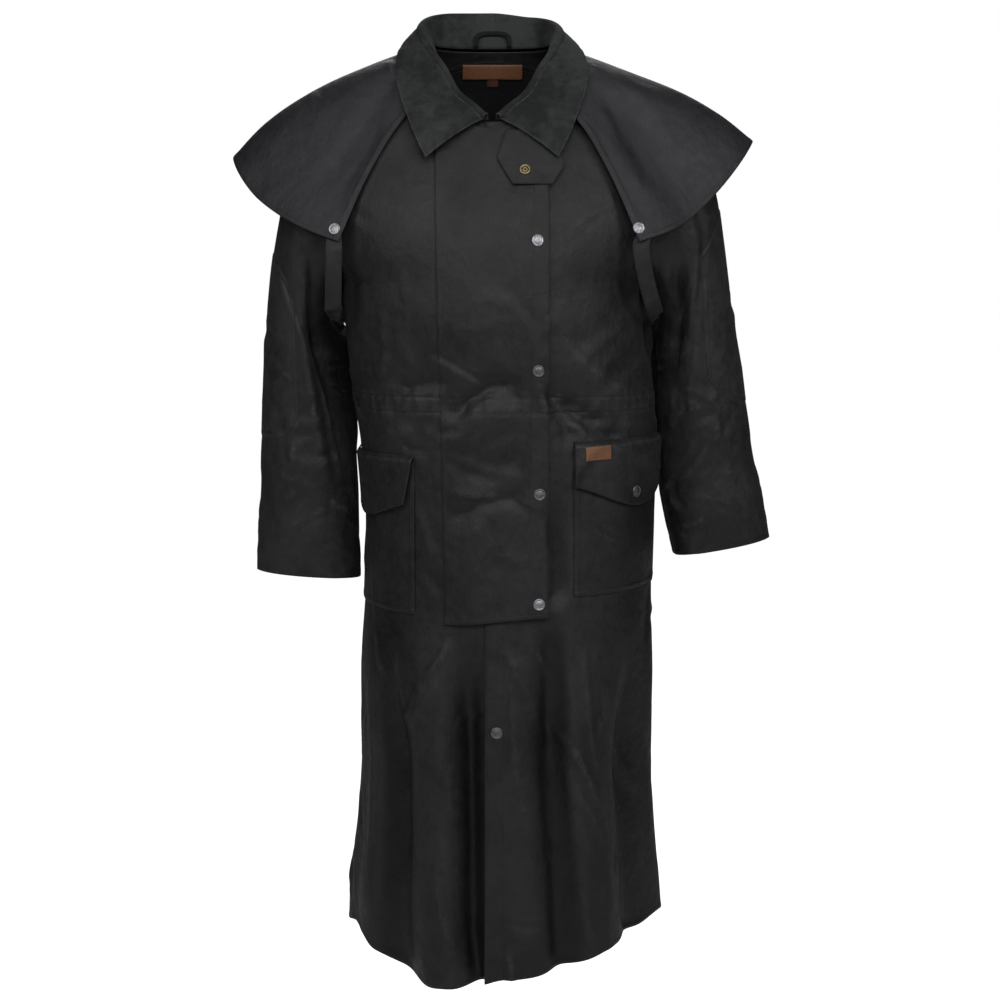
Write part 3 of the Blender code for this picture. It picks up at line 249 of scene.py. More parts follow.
# Pieces that are thinner or lie closer than their solids
PATCH_LIFT = 1.0
PATCH_WALL = 0.6
CUFF_STITCH = {1: 7.0, -1: 31.0}
TAB_SAG = 4.0
TAG_HALF = 7.5
TAG_LENGTH = 9.5
TAG_WALL = 0.3
LOOP_SQUARE = 0.5
STAND_TOP_POINT = 10

# How many grid steps a hollow is looked for across, and the depths where the shade painted into its cloth is
# darkest and where it stops
HOLLOW_REACH = 12
TROUGH_RANGE = (-7.0, 0.5)

# Bands of painted shade down the skirt, made as dark as a hollow this deep: x and z of both ends, width and
# strength
PAINTED_SHADE_DEPTH = -7.0
PAINTED_SHADE_BANDS = (
    (-134, -760, -142, -1250, 34, 1.2),
    (72, -740, 122, -1250, 22, 1.0),
    (196, -600, 205, -1250, 36, 1.3),
    (128, -960, 165, -1250, 26, 0.6),
)

# Cape tips and straps
TIP_WAY = 0.32
TIP_SPREAD = 0.05
TIP_ROUNDING = 0.018
STRAP_WAVE = 1.1
STRAP_WAVE_RUN = 2.6
STRAP_DRIFT = 1.4
STRAP_DRIFT_RUN = 7.0
STRAP_SLANT = 3

# Fasteners: how round they are, then radii and heights of a snap's cap and of the throat's ring
SNAP_STEPS = 48
CAP_PROFILE = ((7.0, -0.4), (7.6, 0.2), (7.6, 1.0), (7.1, 1.7), (6.3, 1.95), (5.7, 1.6), (5.2, 1.35),
               (4.7, 1.6), (3.6, 2.0), (2.0, 2.25), (0.5, 2.3))
RING_PROFILE = ((6.6, -0.4), (7.1, 0.1), (7.1, 0.9), (6.5, 1.6), (5.6, 1.8), (4.8, 1.4), (4.3, -0.4),
                (3.3, -0.5), (3.0, 0.6), (2.4, 1.0), (1.8, 0.7), (1.4, -0.5), (0.3, -0.6))
DULL_SNAPS = ("snap_flap_2", "snap_flap_3", "snap_overlap")

# Camera, floor and lamps: each lamp's name, place, size, power and aim, in metres and watts
CAMERA_LENS = 61.33
CAMERA_SENSOR = 36
CAMERA_PLACE = (0.010, -2.2759, -0.249)
CAMERA_TILT = 8.3
FLOOR_SIZE = 60
FLOOR_HEIGHT = -1.56
WORLD_LIGHT = 0.015
LIGHTS = (
    ("overhead", (0.0, -0.3, 1.9), (1.6, 1.2), 3.5, (0, 0, -0.2)),
    ("key_left", (-2.0, -2.4, 1.3), (1.2, 1.4), 19, (0, 0, -0.4)),
    ("key_right", (2.0, -2.4, 1.3), (1.2, 1.4), 25, (0, 0, -0.4)),
    ("front_high", (0.0, -1.9, 1.1), (1.2, 0.8), 10, (0, 0, -0.2)),
    ("front_low", (0.0, -3.2, 0.3), (1.6, 0.8), 5, (0, 0, -0.7)),
    ("behind", (0.0, 2.3, 1.8), (2.0, 1.4), 22, (0, 0, -0.5)),
)


def table(text):
    """A table's columns as arrays by name: the first line has the names, the others the numbers."""
    names, *rows = (line.split() for line in text.strip().splitlines())
    return {name: np.array([float(row[i]) for row in rows]) for i, name in enumerate(names)}


def folds(text):
    """A table of folds or creases: where each starts and ends, then its bow, half width and height."""
    return table("a b to_a to_b bow width height" + text)


BODY = table("""
drop mid half front back shape
-15 0 80 14 65 2.4
-5 0 103 26 73 2.4
5 0 129 34 79 2.4
20 0 168 43 87 2.4
34 0 205 50 94 2.4
50 0 224 56 99 2.4
80 0 240 68 107 2.4
110 0 245 84 114 2.4
150 0 246 106 121 2.4
200 0 240 130 126 2.4
250 0 222 144 128 2.35
290 0 197 150 128 2.3
350 5 199 154 124 2.3
430 14 200 152 120 2.3
500 21 197 155 128 2.3
600 24 191 162 140 2.25
700 20 192 170 152 2.2
800 16 195 178 164 2.2
900 14 193 186 175 2.15
1000 14 198 196 188 2.1
1100 12 209 205 198 1.98
1200 14 216 214 207 1.82
""")

ARMHOLE = table("""
drop reach
34 205
80 196
120 191
160 189
200 190
250 193
290 197
""")

HEM = table("""
across drop
-2.0 1172
-1.4 1172
-1.0 1169
-0.9 1160
-0.8 1152
-0.7 1156
-0.6 1169
-0.5 1181
-0.4 1187
-0.2 1185
0.0 1169
0.2 1166
0.3 1164
0.4 1153
0.5 1148
0.7 1149
0.85 1141
1.0 1154
1.4 1164
2.0 1172
""")

# Folds: soft ridges (height over 0) and troughs (under 0) between two places on the body
BODY_FOLDS = folds("""
0.04 402 -0.22 466 6 20 -5
-0.25 470 0.03 432 0 18 3
-0.25 497 0.08 545 0 20 -4
-0.22 545 0.02 508 0 20 3
0.06 552 -0.24 590 0 22 -4.5
0.20 425 0.52 478 8 20 -6
0.26 385 0.80 448 15 20 4
0.15 414 0.24 492 0 16 -5
0.14 560 0.19 700 -4 16 -5
-0.14 405 -0.46 424 0 20 -2.5
-0.58 480 -0.26 430 0 22 3
-0.31 690 -0.17 1400 0 38 9
-0.55 780 -0.45 1400 0 42 -10
-0.76 740 -0.74 1400 0 36 5
-0.22 734 -0.50 860 -22 14 3.5
0.15 712 0.37 1400 14 24 -11
0.31 715 0.52 1400 0 36 7
0.62 750 0.68 1400 0 36 -8
0.03 735 0.11 1400 0 36 5
0.90 640 0.92 1400 0 32 5
1.22 700 1.18 1400 6 38 -10
1.46 640 1.52 1400 0 42 8
1.74 760 1.77 1400 -8 32 -10
1.97 690 2.02 1400 0 40 8
2.24 640 2.20 1400 10 34 -11
2.47 730 2.53 1400 0 42 8
2.76 660 2.80 1400 0 34 -9
1.35 432 1.88 396 12 22 -5
2.16 410 2.72 462 -12 24 -5
1.68 520 2.34 500 0 22 -4
1.30 250 1.62 330 0 24 -4
2.70 255 2.36 345 0 24 -4
""")

# The trough beside the overlap, on the right front alone
UNDERLAP_FOLDS = folds("""
-0.14 735 -0.11 1400 4 24 -17
""")

# Each sleeve's sections: its outer and inner side seen from the front, its depth, and how far
# its back is pressed towards the body
SLEEVES = {1: table("""
along out_x out_drop in_x in_drop front back tuck
0.00 205 34 197 290 80 88 0
0.08 232 55 206 298 82 86 0
0.15 256 86 216 308 82 82 0
0.23 276 126 225 322 80 78 0
0.32 294 176 229 342 76 74 4
0.42 304 235 229 372 71 70 26
0.50 312 290 226 408 67 67 21
0.60 322 352 224 448 63 63 15
0.69 332 405 225 488 58 58 12
0.77 340 460 227 525 54 54 12
0.85 350 520 230 566 49 49 12
0.92 362 568 236 606 45 45 10
1.00 374 631 247 655 36 40 8
"""), -1: table("""
along out_x out_drop in_x in_drop front back tuck
0.00 205 34 197 290 80 88 0
0.08 229 56 205 298 82 86 0
0.15 250 92 214 308 82 82 0
0.23 266 140 221 324 80 78 0
0.32 279 203 223 345 76 74 6
0.42 290 262 220 375 71 70 34
0.50 297 320 214 408 67 67 33
0.60 303 385 206 442 63 63 29
0.69 307 450 198 482 58 58 26
0.77 310 510 190 525 54 54 14
0.85 312 565 184 572 49 49 8
0.92 316 612 181 616 45 45 3
1.00 319 675 179 685 37 40 0
""")}

SLEEVE_FOLDS = {1: folds("""
95 100 110 330 0 14 4
130 120 150 380 0 20 -6
"""), -1: folds("""
100 120 120 560 0 14 5
140 150 150 560 0 22 -8
""")}

CAPE_FOLDS = {1: folds("""
0.16 110 0.13 420 0 20 -6
0.27 120 0.26 420 0 22 4
0.44 120 0.46 420 0 26 -6
0.66 120 0.62 420 0 26 5
0.86 120 0.84 420 0 24 3
"""), -1: folds("""
0.12 120 0.10 420 0 22 2
0.24 140 0.26 420 0 26 4
0.42 120 0.40 420 0 26 -6
0.60 120 0.62 420 0 26 5
0.80 120 0.78 420 0 24 3
""")}

# Cape: from the front edge (0) to the centre back (1), the turn round the neck in degrees and
# five rings from neck to hem, each a distance from the neck's middle and a height
CAPE = table("""
way turn r0 z0 r1 z1 r2 z2 r3 z3 r4 z4
0.00 58 92 -30 124 -73 153 -107 190 -165 227 -237
0.10 68 94 -10 123 -31 162 -78 208 -137 265 -217
0.20 78 93 6 141 -13 196 -49 251 -106 307 -182
0.32 90 89 16 160 -9.5 230 -40 295 -83 342 -130
0.45 105 86 16 156 -9.5 216 -38.5 270 -86 318 -151
0.57 120 82 16 133 -8 180 -52 217 -124 250 -211
0.70 140 78 15.5 109 -8 142 -76 161 -164 176 -244
0.85 160 74 15 94 -7 122 -70 139 -165 148 -257
1.00 180 72 15 90 -7 113 -68 131 -165 138 -261
""")

# Collar, from its front end (0) to the centre back (1): where its seam is on the neckline
# (0 centre front, 1 shoulder, 2 centre back), its roll and the outer edge of its fall
COLLAR = table("""
way neck roll_x roll_y roll_z fall_x fall_y fall_z
0.00 0.04 9 -79 -79 83 -107 -133
0.10 0.17 22 -72 -66 93 -100 -114
0.22 0.36 45 -60 -47 105 -84 -86
0.36 0.56 64 -45 -14 119 -65 -46
0.48 0.72 79 -30 6 124 -46 -19
0.60 0.95 96 0 36 119 -6 8
0.72 1.25 87 38 54 111 46 5
0.86 1.64 58 66 63 71 86 0
1.00 2.00 0 78 65 0 98 -4
""")

# Throat tab: its left and right edge at each drop
TAB = table("""
drop left right
101 18 66
117 12 80
134 6 88
142 11 91
152 17 84
166 26 74
""")

# Pocket flaps: how low the lower edge is from the front corner (0) to the far corner (1)
POCKET_FLAPS = {1: table("""
way drop
0.0 543
0.5 571
1.0 545
"""), -1: table("""
way drop
0.0 567
0.5 588
1.0 566
""")}

# Elbow patches: where they start and end along the sleeve at each turn round it
ELBOWS = {1: table("""
turn top bottom
-80 0.35 0.75
20 0.35 0.75
60 0.35 0.715
84 0.335 0.64
"""), -1: table("""
turn top bottom
-80 0.40 0.735
20 0.40 0.745
66 0.39 0.735
92 0.42 0.68
""")}

# Where each strap's two ends lie under the cape: rows from its front end on, then to its back end
STRAP_ENDS = table("""
inner_way inner_out outer_way outer_out
0.013 0.930 0.046 0.955
0.003 0.965 0.035 0.990
0.580 0.970 0.557 0.995
0.575 0.935 0.552 0.960
""")

# Cape straps: the middle line from under the cape's front corner, below the arm, to the back,
# and which way the strap's width runs
STRAPS = {1: table("""
step x y z wide_x wide_y wide_z
0 186 -128 -240 1 0 0
1 189 -128 -265 1 0 0
2 195 -122 -290 1 0 0
3 202 -110 -312 1 0 0.15
4 209 -88 -328 0.9 0 0.45
5 214 -50 -335 0.6 0 0.8
6 214 0 -335 0.4 0 0.9
7 211 50 -333 0.5 0 0.85
8 208 84 -328 0.8 0 0.6
9 208 104 -312 1 0 0.2
10 209 115 -285 1 0 0
11 211 121 -255 1 0 0
12 214 123 -232 1 0 0
"""), -1: table("""
step x y z wide_x wide_y wide_z
0 198 -119 -246 1 0 0
1 199 -120 -270 1 0 0
2 200 -116 -300 1 0 0
3 202 -106 -321 1 0 0.15
4 204 -86 -333 0.9 0 0.45
5 205 -50 -336 0.6 0 0.8
6 204 0 -335 0.4 0 0.9
7 202 50 -333 0.5 0 0.85
8 202 84 -328 0.8 0 0.6
9 204 104 -312 1 0 0.2
10 207 115 -285 1 0 0
11 211 121 -255 1 0 0
12 214 123 -232 1 0 0
""")}

# Snaps on the storm flap and the overlap
FRONT_SNAPS = table("""
x drop sink
56 237 0.0
57 396 0.0
59 551 0.4
58 689 0.0
6 852 0.0
""")


def smooth(rows, key, name, at):
    """One column of a table at any place: a cubic that never overshoots, level past the ends."""
    x = rows[key]
    y = rows[name]
    run = np.diff(x)
    slope = np.diff(y) / run
    bend = np.zeros(len(x))
    bend[0] = slope[0]
    bend[-1] = slope[-1]
    product = slope[:-1] * slope[1:]
    total = slope[:-1] + slope[1:]
    turning = product <= 0
    bend[1:-1] = np.where(turning, 0.0, 2 * product / np.where(turning, 1.0, total))
    at = np.clip(np.asarray(at, float), x[0], x[-1])
    i = np.clip(np.searchsorted(x, at, side="right") - 1, 0, len(run) - 1)
    t = (at - x[i]) / run[i]
    start = y[i] * (1 + 2 * t) * (1 - t) ** 2 + run[i] * bend[i] * t * (1 - t) ** 2
    end = y[i + 1] * t * t * (3 - 2 * t) - run[i] * bend[i + 1] * t * t * (1 - t)
    return start + end


def ease(low, high, at):
    """0 below low, 1 above high, and smooth between them."""
    t = np.clip((np.asarray(at, float) - low) / (high - low), 0, 1)
    return t * t * (3 - 2 * t)


def rise_and_fall(places, at):
    """1 at the middle one of three places and 0 beyond the outer ones."""
    start, middle, stop = places
    return ease(start, middle, at) * (1 - ease(middle, stop, at))


def signed_power(value, power):
    return np.sign(value) * np.abs(value) ** power


def unit(vectors):
    return vectors / np.maximum(np.linalg.norm(vectors, axis=-1, keepdims=True), 1e-9)


# The body: superellipse rings, cut off at the armholes


def body_half(drop):
    """Half width of the body's ring; above the shoulder point the shoulder seam runs straight."""
    slope = (SHOULDER_HALF - NECK_HALF) / (SHOULDER_DROP - NECK_SIDE_DROP)
    seam = NECK_HALF + slope * np.maximum(drop - NECK_SIDE_DROP, 0)
    return np.where(drop < SHOULDER_DROP, seam, smooth(BODY, "drop", "half", drop))


def body_reach(drop):
    """How far out the body's cloth goes: to the armhole, and below it all the way round."""
    return np.where(drop < ARMPIT_DROP, smooth(ARMHOLE, "drop", "reach", drop), body_half(drop))


def plain_body(across, drop):
    """Points of the body before folds."""
    half = body_half(drop)
    shape = smooth(BODY, "drop", "shape", drop)
    angle = across * math.pi / 2
    reach = body_reach(drop)
    filled = np.clip((reach / half) ** shape * np.sin(angle) ** 2, 0, 1)
    x = smooth(BODY, "drop", "mid", drop) + reach * signed_power(np.sin(angle), 2 / shape)
    front = -smooth(BODY, "drop", "front", drop)
    back = smooth(BODY, "drop", "back", drop)
    y = np.where(np.cos(angle) >= 0, front, back) * (1 - filled) ** (1 / shape)
    return np.stack([x, y, -drop], axis=-1)


def across_at(x, drop):
    """Where on the front a point at this x lies."""
    shape = smooth(BODY, "drop", "shape", drop)
    ratio = (x - smooth(BODY, "drop", "mid", drop)) / body_reach(drop)
    return np.arcsin(np.clip(signed_power(ratio, shape / 2), -1, 1)) / (math.pi / 2)


def normals(surface, a, b, step_a, step_b, sign):
    """Outward directions of a surface of two parameters, from its neighbouring points."""
    along = surface(a + step_a, b) - surface(a - step_a, b)
    down = surface(a, b + step_b) - surface(a, b - step_b)
    return unit(sign * np.cross(down, along))


def soft(side):
    return np.exp(-side ** 2)


def crisp(side):
    """A narrow ridge with a shallow trough beside it."""
    return np.exp(-side ** 2) - 0.6 * np.exp(-((side - 1.7) / 1.2) ** 2)


def fold_depth(rows, a, b, a_size, period=None, profile=soft):
    """Sum of a table's folds at places (a, b); a_size is the length of one unit of a."""
    depth = np.zeros(np.broadcast(a, b).shape)
    for start_a, start_b, end_a, end_b, bow, width, height in zip(*rows.values()):
        da = a - start_a
        if period:
            da = (da + period / 2) % period - period / 2
        reach_a = (end_a - start_a) * a_size
        reach_b = end_b - start_b
        length = math.hypot(reach_a, reach_b)
        t = (da * a_size * reach_a + (b - start_b) * reach_b) / length ** 2
        side = ((b - start_b) * reach_a - da * a_size * reach_b) / length
        side = side - bow * 4 * t * (1 - t)
        fade = ease(-0.04, 0.22, t) * (1 - ease(0.78, 1.04, t))
        depth = depth + height * fade * profile(side / width)
    return depth


crease_depth = partial(fold_depth, profile=crisp)


def body(across, drop, lift=0.0):
    """Points of the folded body, moved out by lift."""
    across, drop = np.broadcast_arrays(np.asarray(across, float), np.asarray(drop, float))
    out = normals(plain_body, across, drop, 0.01, 2.0, 1)
    fade = ease(SHOULDER_DROP, FOLDS_FULL_DROP, drop)
    depth = fold_depth(BODY_FOLDS, across, drop, QUARTER_GIRTH, 4) * fade + cloth_relief(across, drop)
    return plain_body(across, drop) + out * (depth + lift)[..., None]


def front_neck_drop(x):
    return NECK_FRONT_DROP + (NECK_SIDE_DROP - NECK_FRONT_DROP) * (np.abs(x) / NECK_HALF) ** NECK_CURVE


def back_neck_drop(x):
    return NECK_BACK_DROP + (NECK_SIDE_DROP - NECK_BACK_DROP) * (np.abs(x) / NECK_HALF) ** 2


def top_drop(across):
    """Where a panel starts: on the neckline or the shoulder seam."""
    angle = across * math.pi / 2
    x = np.abs(SHOULDER_HALF * signed_power(np.sin(angle), 2 / BODY["shape"][0]))
    slope = (SHOULDER_DROP - NECK_SIDE_DROP) / (SHOULDER_HALF - NECK_HALF)
    seam = NECK_SIDE_DROP + slope * (x - NECK_HALF)
    inner = np.minimum(x, NECK_HALF)
    neck = np.where(np.cos(angle) >= 0, front_neck_drop(inner), back_neck_drop(inner))
    return np.where(x < NECK_HALF, neck, seam)


def hem_drop(across):
    return smooth(HEM, "across", "drop", (across + 2) % 4 - 2)


def side_line(side, inward=SEAM_TRIM):
    """The line of an armhole and side seam, trimmed for the seam's gap."""
    return lambda drop: side + SIDE_TWIST * ease(ARMPIT_DROP, ARMPIT_DROP + SIDE_TWIST_RUN, drop) - inward


def fixed_line(x):
    """A straight line down the front at this distance from the middle."""
    return lambda drop: across_at(x, drop)


def back_line(x):
    """A straight line down the back at this distance from the middle."""
    return lambda drop: 2 - across_at(x, drop)


def slanted_line(x, slant, top):
    """A line down the front that moves outward by slant for each step down from top."""
    return lambda drop: across_at(x + slant * np.sign(x) * (drop - top), drop)


def flap_seam_line(drop):
    """The seam that the storm flap hangs from."""
    shift = FLAP_SEAM_SHIFT * ease(FLAP_SHIFT_TOP, FLAP_SHIFT_END, drop)
    return across_at(FLAP_SEAM_X + shift, drop)


def between(first, second, part):
    """A line part of the way from one line to another."""
    return lambda drop: first(drop) * (1 - part) + second(drop) * part


# Sleeves: rings from the armhole to the cuff; turn is 0 on the outer side, 90 at the front


def armhole_ring(turn, side):
    """The armhole as a closed curve, moved just off the body."""
    angle = np.radians(turn)
    middle = (SHOULDER_DROP + ARMPIT_DROP) / 2
    drop = middle - (ARMPIT_DROP - SHOULDER_DROP) / 2 * np.cos(angle)
    edge = plain_body(np.where(np.sin(angle) >= 0, 1.0, 1.000001), drop)
    return np.stack([side * (edge[..., 0] + ARMHOLE_GAP), edge[..., 1], edge[..., 2]], axis=-1)


def sleeve_ring(sections, turn, along, side):
    """A plain oval section of a sleeve."""
    angle = np.radians(turn)
    out_x = smooth(sections, "along", "out_x", along)
    out_z = -smooth(sections, "along", "out_drop", along)
    in_x = smooth(sections, "along", "in_x", along)
    in_z = -smooth(sections, "along", "in_drop", along)
    front = smooth(sections, "along", "front", along)
    back = smooth(sections, "along", "back", along)
    pressed = 2 * np.clip(-np.sin(angle), 0, 1) * np.clip(-np.cos(angle), 0, 1)
    x = (out_x + in_x) / 2 + (out_x - in_x) / 2 * np.cos(angle)
    x = x - smooth(sections, "along", "tuck", along) * pressed
    z = (out_z + in_z) / 2 + (out_z - in_z) / 2 * np.cos(angle)
    y = -np.where(np.sin(angle) >= 0, front, back) * np.sin(angle)
    return np.stack([side * x, y, z], axis=-1)


def plain_sleeve(side):
    """A sleeve's surface before folds, as a function of turn and along."""
    sections = SLEEVES[side]

    def surface(turn, along):
        turn, along = np.broadcast_arrays(np.asarray(turn, float), np.asarray(along, float))
        ring = sleeve_ring(sections, turn, along, side)
        root = armhole_ring(turn, side) - sleeve_ring(sections, turn, np.zeros(along.shape), side)
        return ring + root * (1 - ease(0, SLEEVE_ROOT_PART, along))[..., None]

    return surface


def sleeve(side, turn, along, lift=0.0):
    """Points of a folded sleeve, moved out by lift."""
    surface = plain_sleeve(side)
    turn, along = np.broadcast_arrays(np.asarray(turn, float), np.asarray(along, float))
    out = normals(surface, turn, np.clip(along, 0.01, 0.99), 2.0, 0.01, -side)
    run = along * SLEEVE_LENGTH
    depth = fold_depth(SLEEVE_FOLDS[side], turn, run, SLEEVE_DEGREE, 360)
    depth = depth + crease_depth(SLEEVE_CREASES[side], turn, run, SLEEVE_DEGREE, 360)
    spread = turn * SLEEVE_DEGREE / QUARTER_GIRTH
    round_all = 360 * SLEEVE_DEGREE / QUARTER_GIRTH
    depth = depth + crease_depth(SLEEVE_SMALL, spread, run, QUARTER_GIRTH, round_all)
    return surface(turn, along) + out * (depth * ease(0.0, SLEEVE_FOLD_PART, along) + lift)[..., None]


# Cape: rings round the neck; on each side way runs from the front edge to the centre back


def cape_point(side, way, out):
    """Points of the plain cape on one side: way from front edge to centre back, out to the hem."""
    way, out = np.broadcast_arrays(np.asarray(way, float), np.asarray(out, float))
    near_front = (1 - np.clip(way, 0, 1)) ** 2
    turn = smooth(CAPE, "way", "turn", way)
    rise = 0.0
    inward = 0.0
    if side > 0:
        turn = turn - LEFT_CAPE_TURN * near_front
        tip = rise_and_fall(LEFT_CAPE_RISE_WAYS, way)
        rise = tip * (LEFT_CAPE_RAISE * out ** 2 - LEFT_CAPE_DROP * np.sin(np.pi * out))
        rise = rise - LEFT_CAPE_SINK * near_front * (1 - out) ** 2
        inward = LEFT_CAPE_IN * rise_and_fall(LEFT_CAPE_IN_WAYS, way) * out ** 3
    radii = np.stack([smooth(CAPE, "way", "r%d" % i, way) for i in range(5)])
    heights = np.stack([smooth(CAPE, "way", "z%d" % i, way) for i in range(5)])
    radius = ring_curve(radii, out) - inward
    height = ring_curve(heights, out) + rise
    angle = np.radians(turn)
    return np.stack([side * radius * np.sin(angle), -radius * np.cos(angle), height], axis=-1)


def ring_curve(values, out):
    """A Catmull-Rom curve through five evenly spaced values."""
    spans = len(values) - 1
    place = np.clip(out, 0, 1) * spans
    i = np.minimum(place.astype(int), spans - 1)
    t = place - i
    padded = np.concatenate([2 * values[:1] - values[1:2], values, 2 * values[-1:] - values[-2:-1]])
    a, b, c, d = (np.take_along_axis(padded, (i + k)[None], 0)[0] for k in range(4))
    even = 2 * b + (2 * a - 5 * b + 4 * c - d) * t ** 2
    return 0.5 * (even + (c - a) * t + (3 * b - a - 3 * c + d) * t ** 3)


def cape(side, way, out, lift=0.0):
    """Points of the folded cape, moved out by lift."""
    way, out = np.broadcast_arrays(np.asarray(way, float), np.asarray(out, float))
    surface = partial(cape_point, side)
    out_way = normals(surface, np.clip(way, 0.01, 0.99), np.clip(out, 0.01, 0.99), 0.01, 0.01, side)
    run = out * CAPE_LENGTH
    depth = fold_depth(CAPE_FOLDS[side], way, run, CAPE_WAY)
    depth = depth + crease_depth(CAPE_CREASES[side], way, run, CAPE_WAY)
    return surface(way, out) + out_way * (depth + lift)[..., None]


# Collar: one sheet from the neck seam up the stand, over the roll and down the fall


def neck_edge(place):
    """Points of the neckline: place is 0 at the centre front, 1 at the shoulder, 2 at the back."""
    angle = place * math.pi / 2
    x = NECK_HALF * np.sin(angle)
    drop = np.where(place < 1, front_neck_drop(x), back_neck_drop(x))
    half = body_half(drop)
    shape = BODY["shape"][0]
    filled = 1 - np.clip((x / half) ** shape, 0, 1)
    front = -smooth(BODY, "drop", "front", drop)
    back = smooth(BODY, "drop", "back", drop)
    y = np.where(place < 1, front, back) * filled ** (1 / shape)
    return np.stack([x, y, -drop], axis=-1)


def collar_section(side, way):
    """The collar's section at one place: a list of points from its seam to its outer edge."""
    neck = smooth(COLLAR, "way", "neck", way)
    inward = -math.sin(min(neck, 2 - neck) * math.pi / 2)
    seam = (neck_edge(neck) + COLLAR_SEAM_GAP * np.array([inward, 0, 1])) * np.array([side, 1, 1])
    sag = ease(*LEFT_COLLAR_START, way) * (1 - ease(*LEFT_COLLAR_STOP, way)) if side > 0 else 0.0
    roll = np.array([side * (smooth(COLLAR, "way", "roll_x", way) - LEFT_COLLAR_IN * sag),
                     smooth(COLLAR, "way", "roll_y", way),
                     smooth(COLLAR, "way", "roll_z", way) - LEFT_COLLAR_DOWN * sag])
    fall = np.array([side * (smooth(COLLAR, "way", "fall_x", way) - LEFT_COLLAR_IN * sag),
                     smooth(COLLAR, "way", "fall_y", way),
                     smooth(COLLAR, "way", "fall_z", way)])
    up = unit(roll - seam)
    flat = fall - roll
    out = unit(flat - up * np.dot(flat, up))
    middle = roll - up * ROLL_RADIUS
    angles = np.radians(ROLL_ANGLES)
    bend = [middle + ROLL_RADIUS * (math.sin(a) * up - math.cos(a) * out) for a in angles]
    swell = unit(np.cross(fall - roll, np.cross(up, out)))
    swell = swell if np.dot(swell, up + out) > 0 else -swell
    leaf = [bend[-1] * (1 - t) + fall * t + swell * COLLAR_SWELL * 4 * t * (1 - t) for t in LEAF_STEPS]
    stand = [seam * (1 - t) + bend[0] * t for t in STAND_STEPS]
    return np.array(stand + bend + leaf)


# Layers over the front


def no_lift(across, drop):
    return np.zeros(np.shape(drop))


def underlap_lift(across, drop):
    """The right front sinks in beside the overlap."""
    deep = fold_depth(UNDERLAP_DEEP, across, drop, QUARTER_GIRTH)
    return fold_depth(UNDERLAP_FOLDS, across, drop, QUARTER_GIRTH) + deep


def overlap_lift(across, drop):
    """How far the left front stands out where it laps over the right front."""
    x = plain_body(across, drop)[..., 0]
    return OVERLAP_LIFT * (1 - ease(OVERLAP_FADE_START, OVERLAP_FADE_END, x))


def flap_lift(across, drop):
    """How far the storm flap's face stands out from the body."""
    x = plain_body(across, drop)[..., 0]
    loose = ease(FLAP_SEWN_X, FLAP_LOOSE_X, x)
    chest = FLAP_CHEST_LIFT * (1 - ease(FLAP_CHEST_TOP, FLAP_CHEST_END, drop)) * (1 - loose)
    over_edge = FLAP_LAP_LIFT * ease(FLAP_SEWN_X, OVERLAP_EDGE - FLAP_LAP_INSET, x)
    free_edge = FLAP_FREE_LIFT * ease(FLAP_FREE_X, FLAP_EDGE, x)
    free_end = FLAP_END_LIFT * ease(FLAP_END_TOP, FLAP_END_DROP, drop)
    return LAYER + chest + over_edge + free_edge + free_end * loose


def pocket_lift(side):
    """How far a pocket's face stands out: most in its middle."""
    shape = POCKETS[side]

    def lift(across, drop):
        u = np.clip((across - shape["front"]) / (shape["back"] - shape["front"]), 0, 1)
        v = np.clip((drop - shape["top"]) / (shape["end"] - shape["top"]), 0, 1)
        return LAYER + POCKET_PUFF * 4 * u * (1 - u) * np.sin(v * math.pi)

    return lift


def pocket_flap_lift(side):
    """How far a pocket flap's face stands out: it clears the pocket and flares to its lower edge."""
    shape = POCKETS[side]

    def lift(across, drop):
        u = np.clip((across - shape["front"]) / (shape["back"] - shape["front"]), 0, 1)
        bottom = smooth(POCKET_FLAPS[side], "way", "drop", u)
        part = np.clip((drop - shape["top"]) / (bottom - shape["top"]), 0, 1)
        base = LAYER + (POCKET_FLAP_LIFT - LAYER) * ease(0, POCKET_FLAP_RISE, drop - shape["top"])
        return base + (shape["flare"] * (1 - u) + POCKET_PUFF * 4 * u * (1 - u)) * part

    return lift


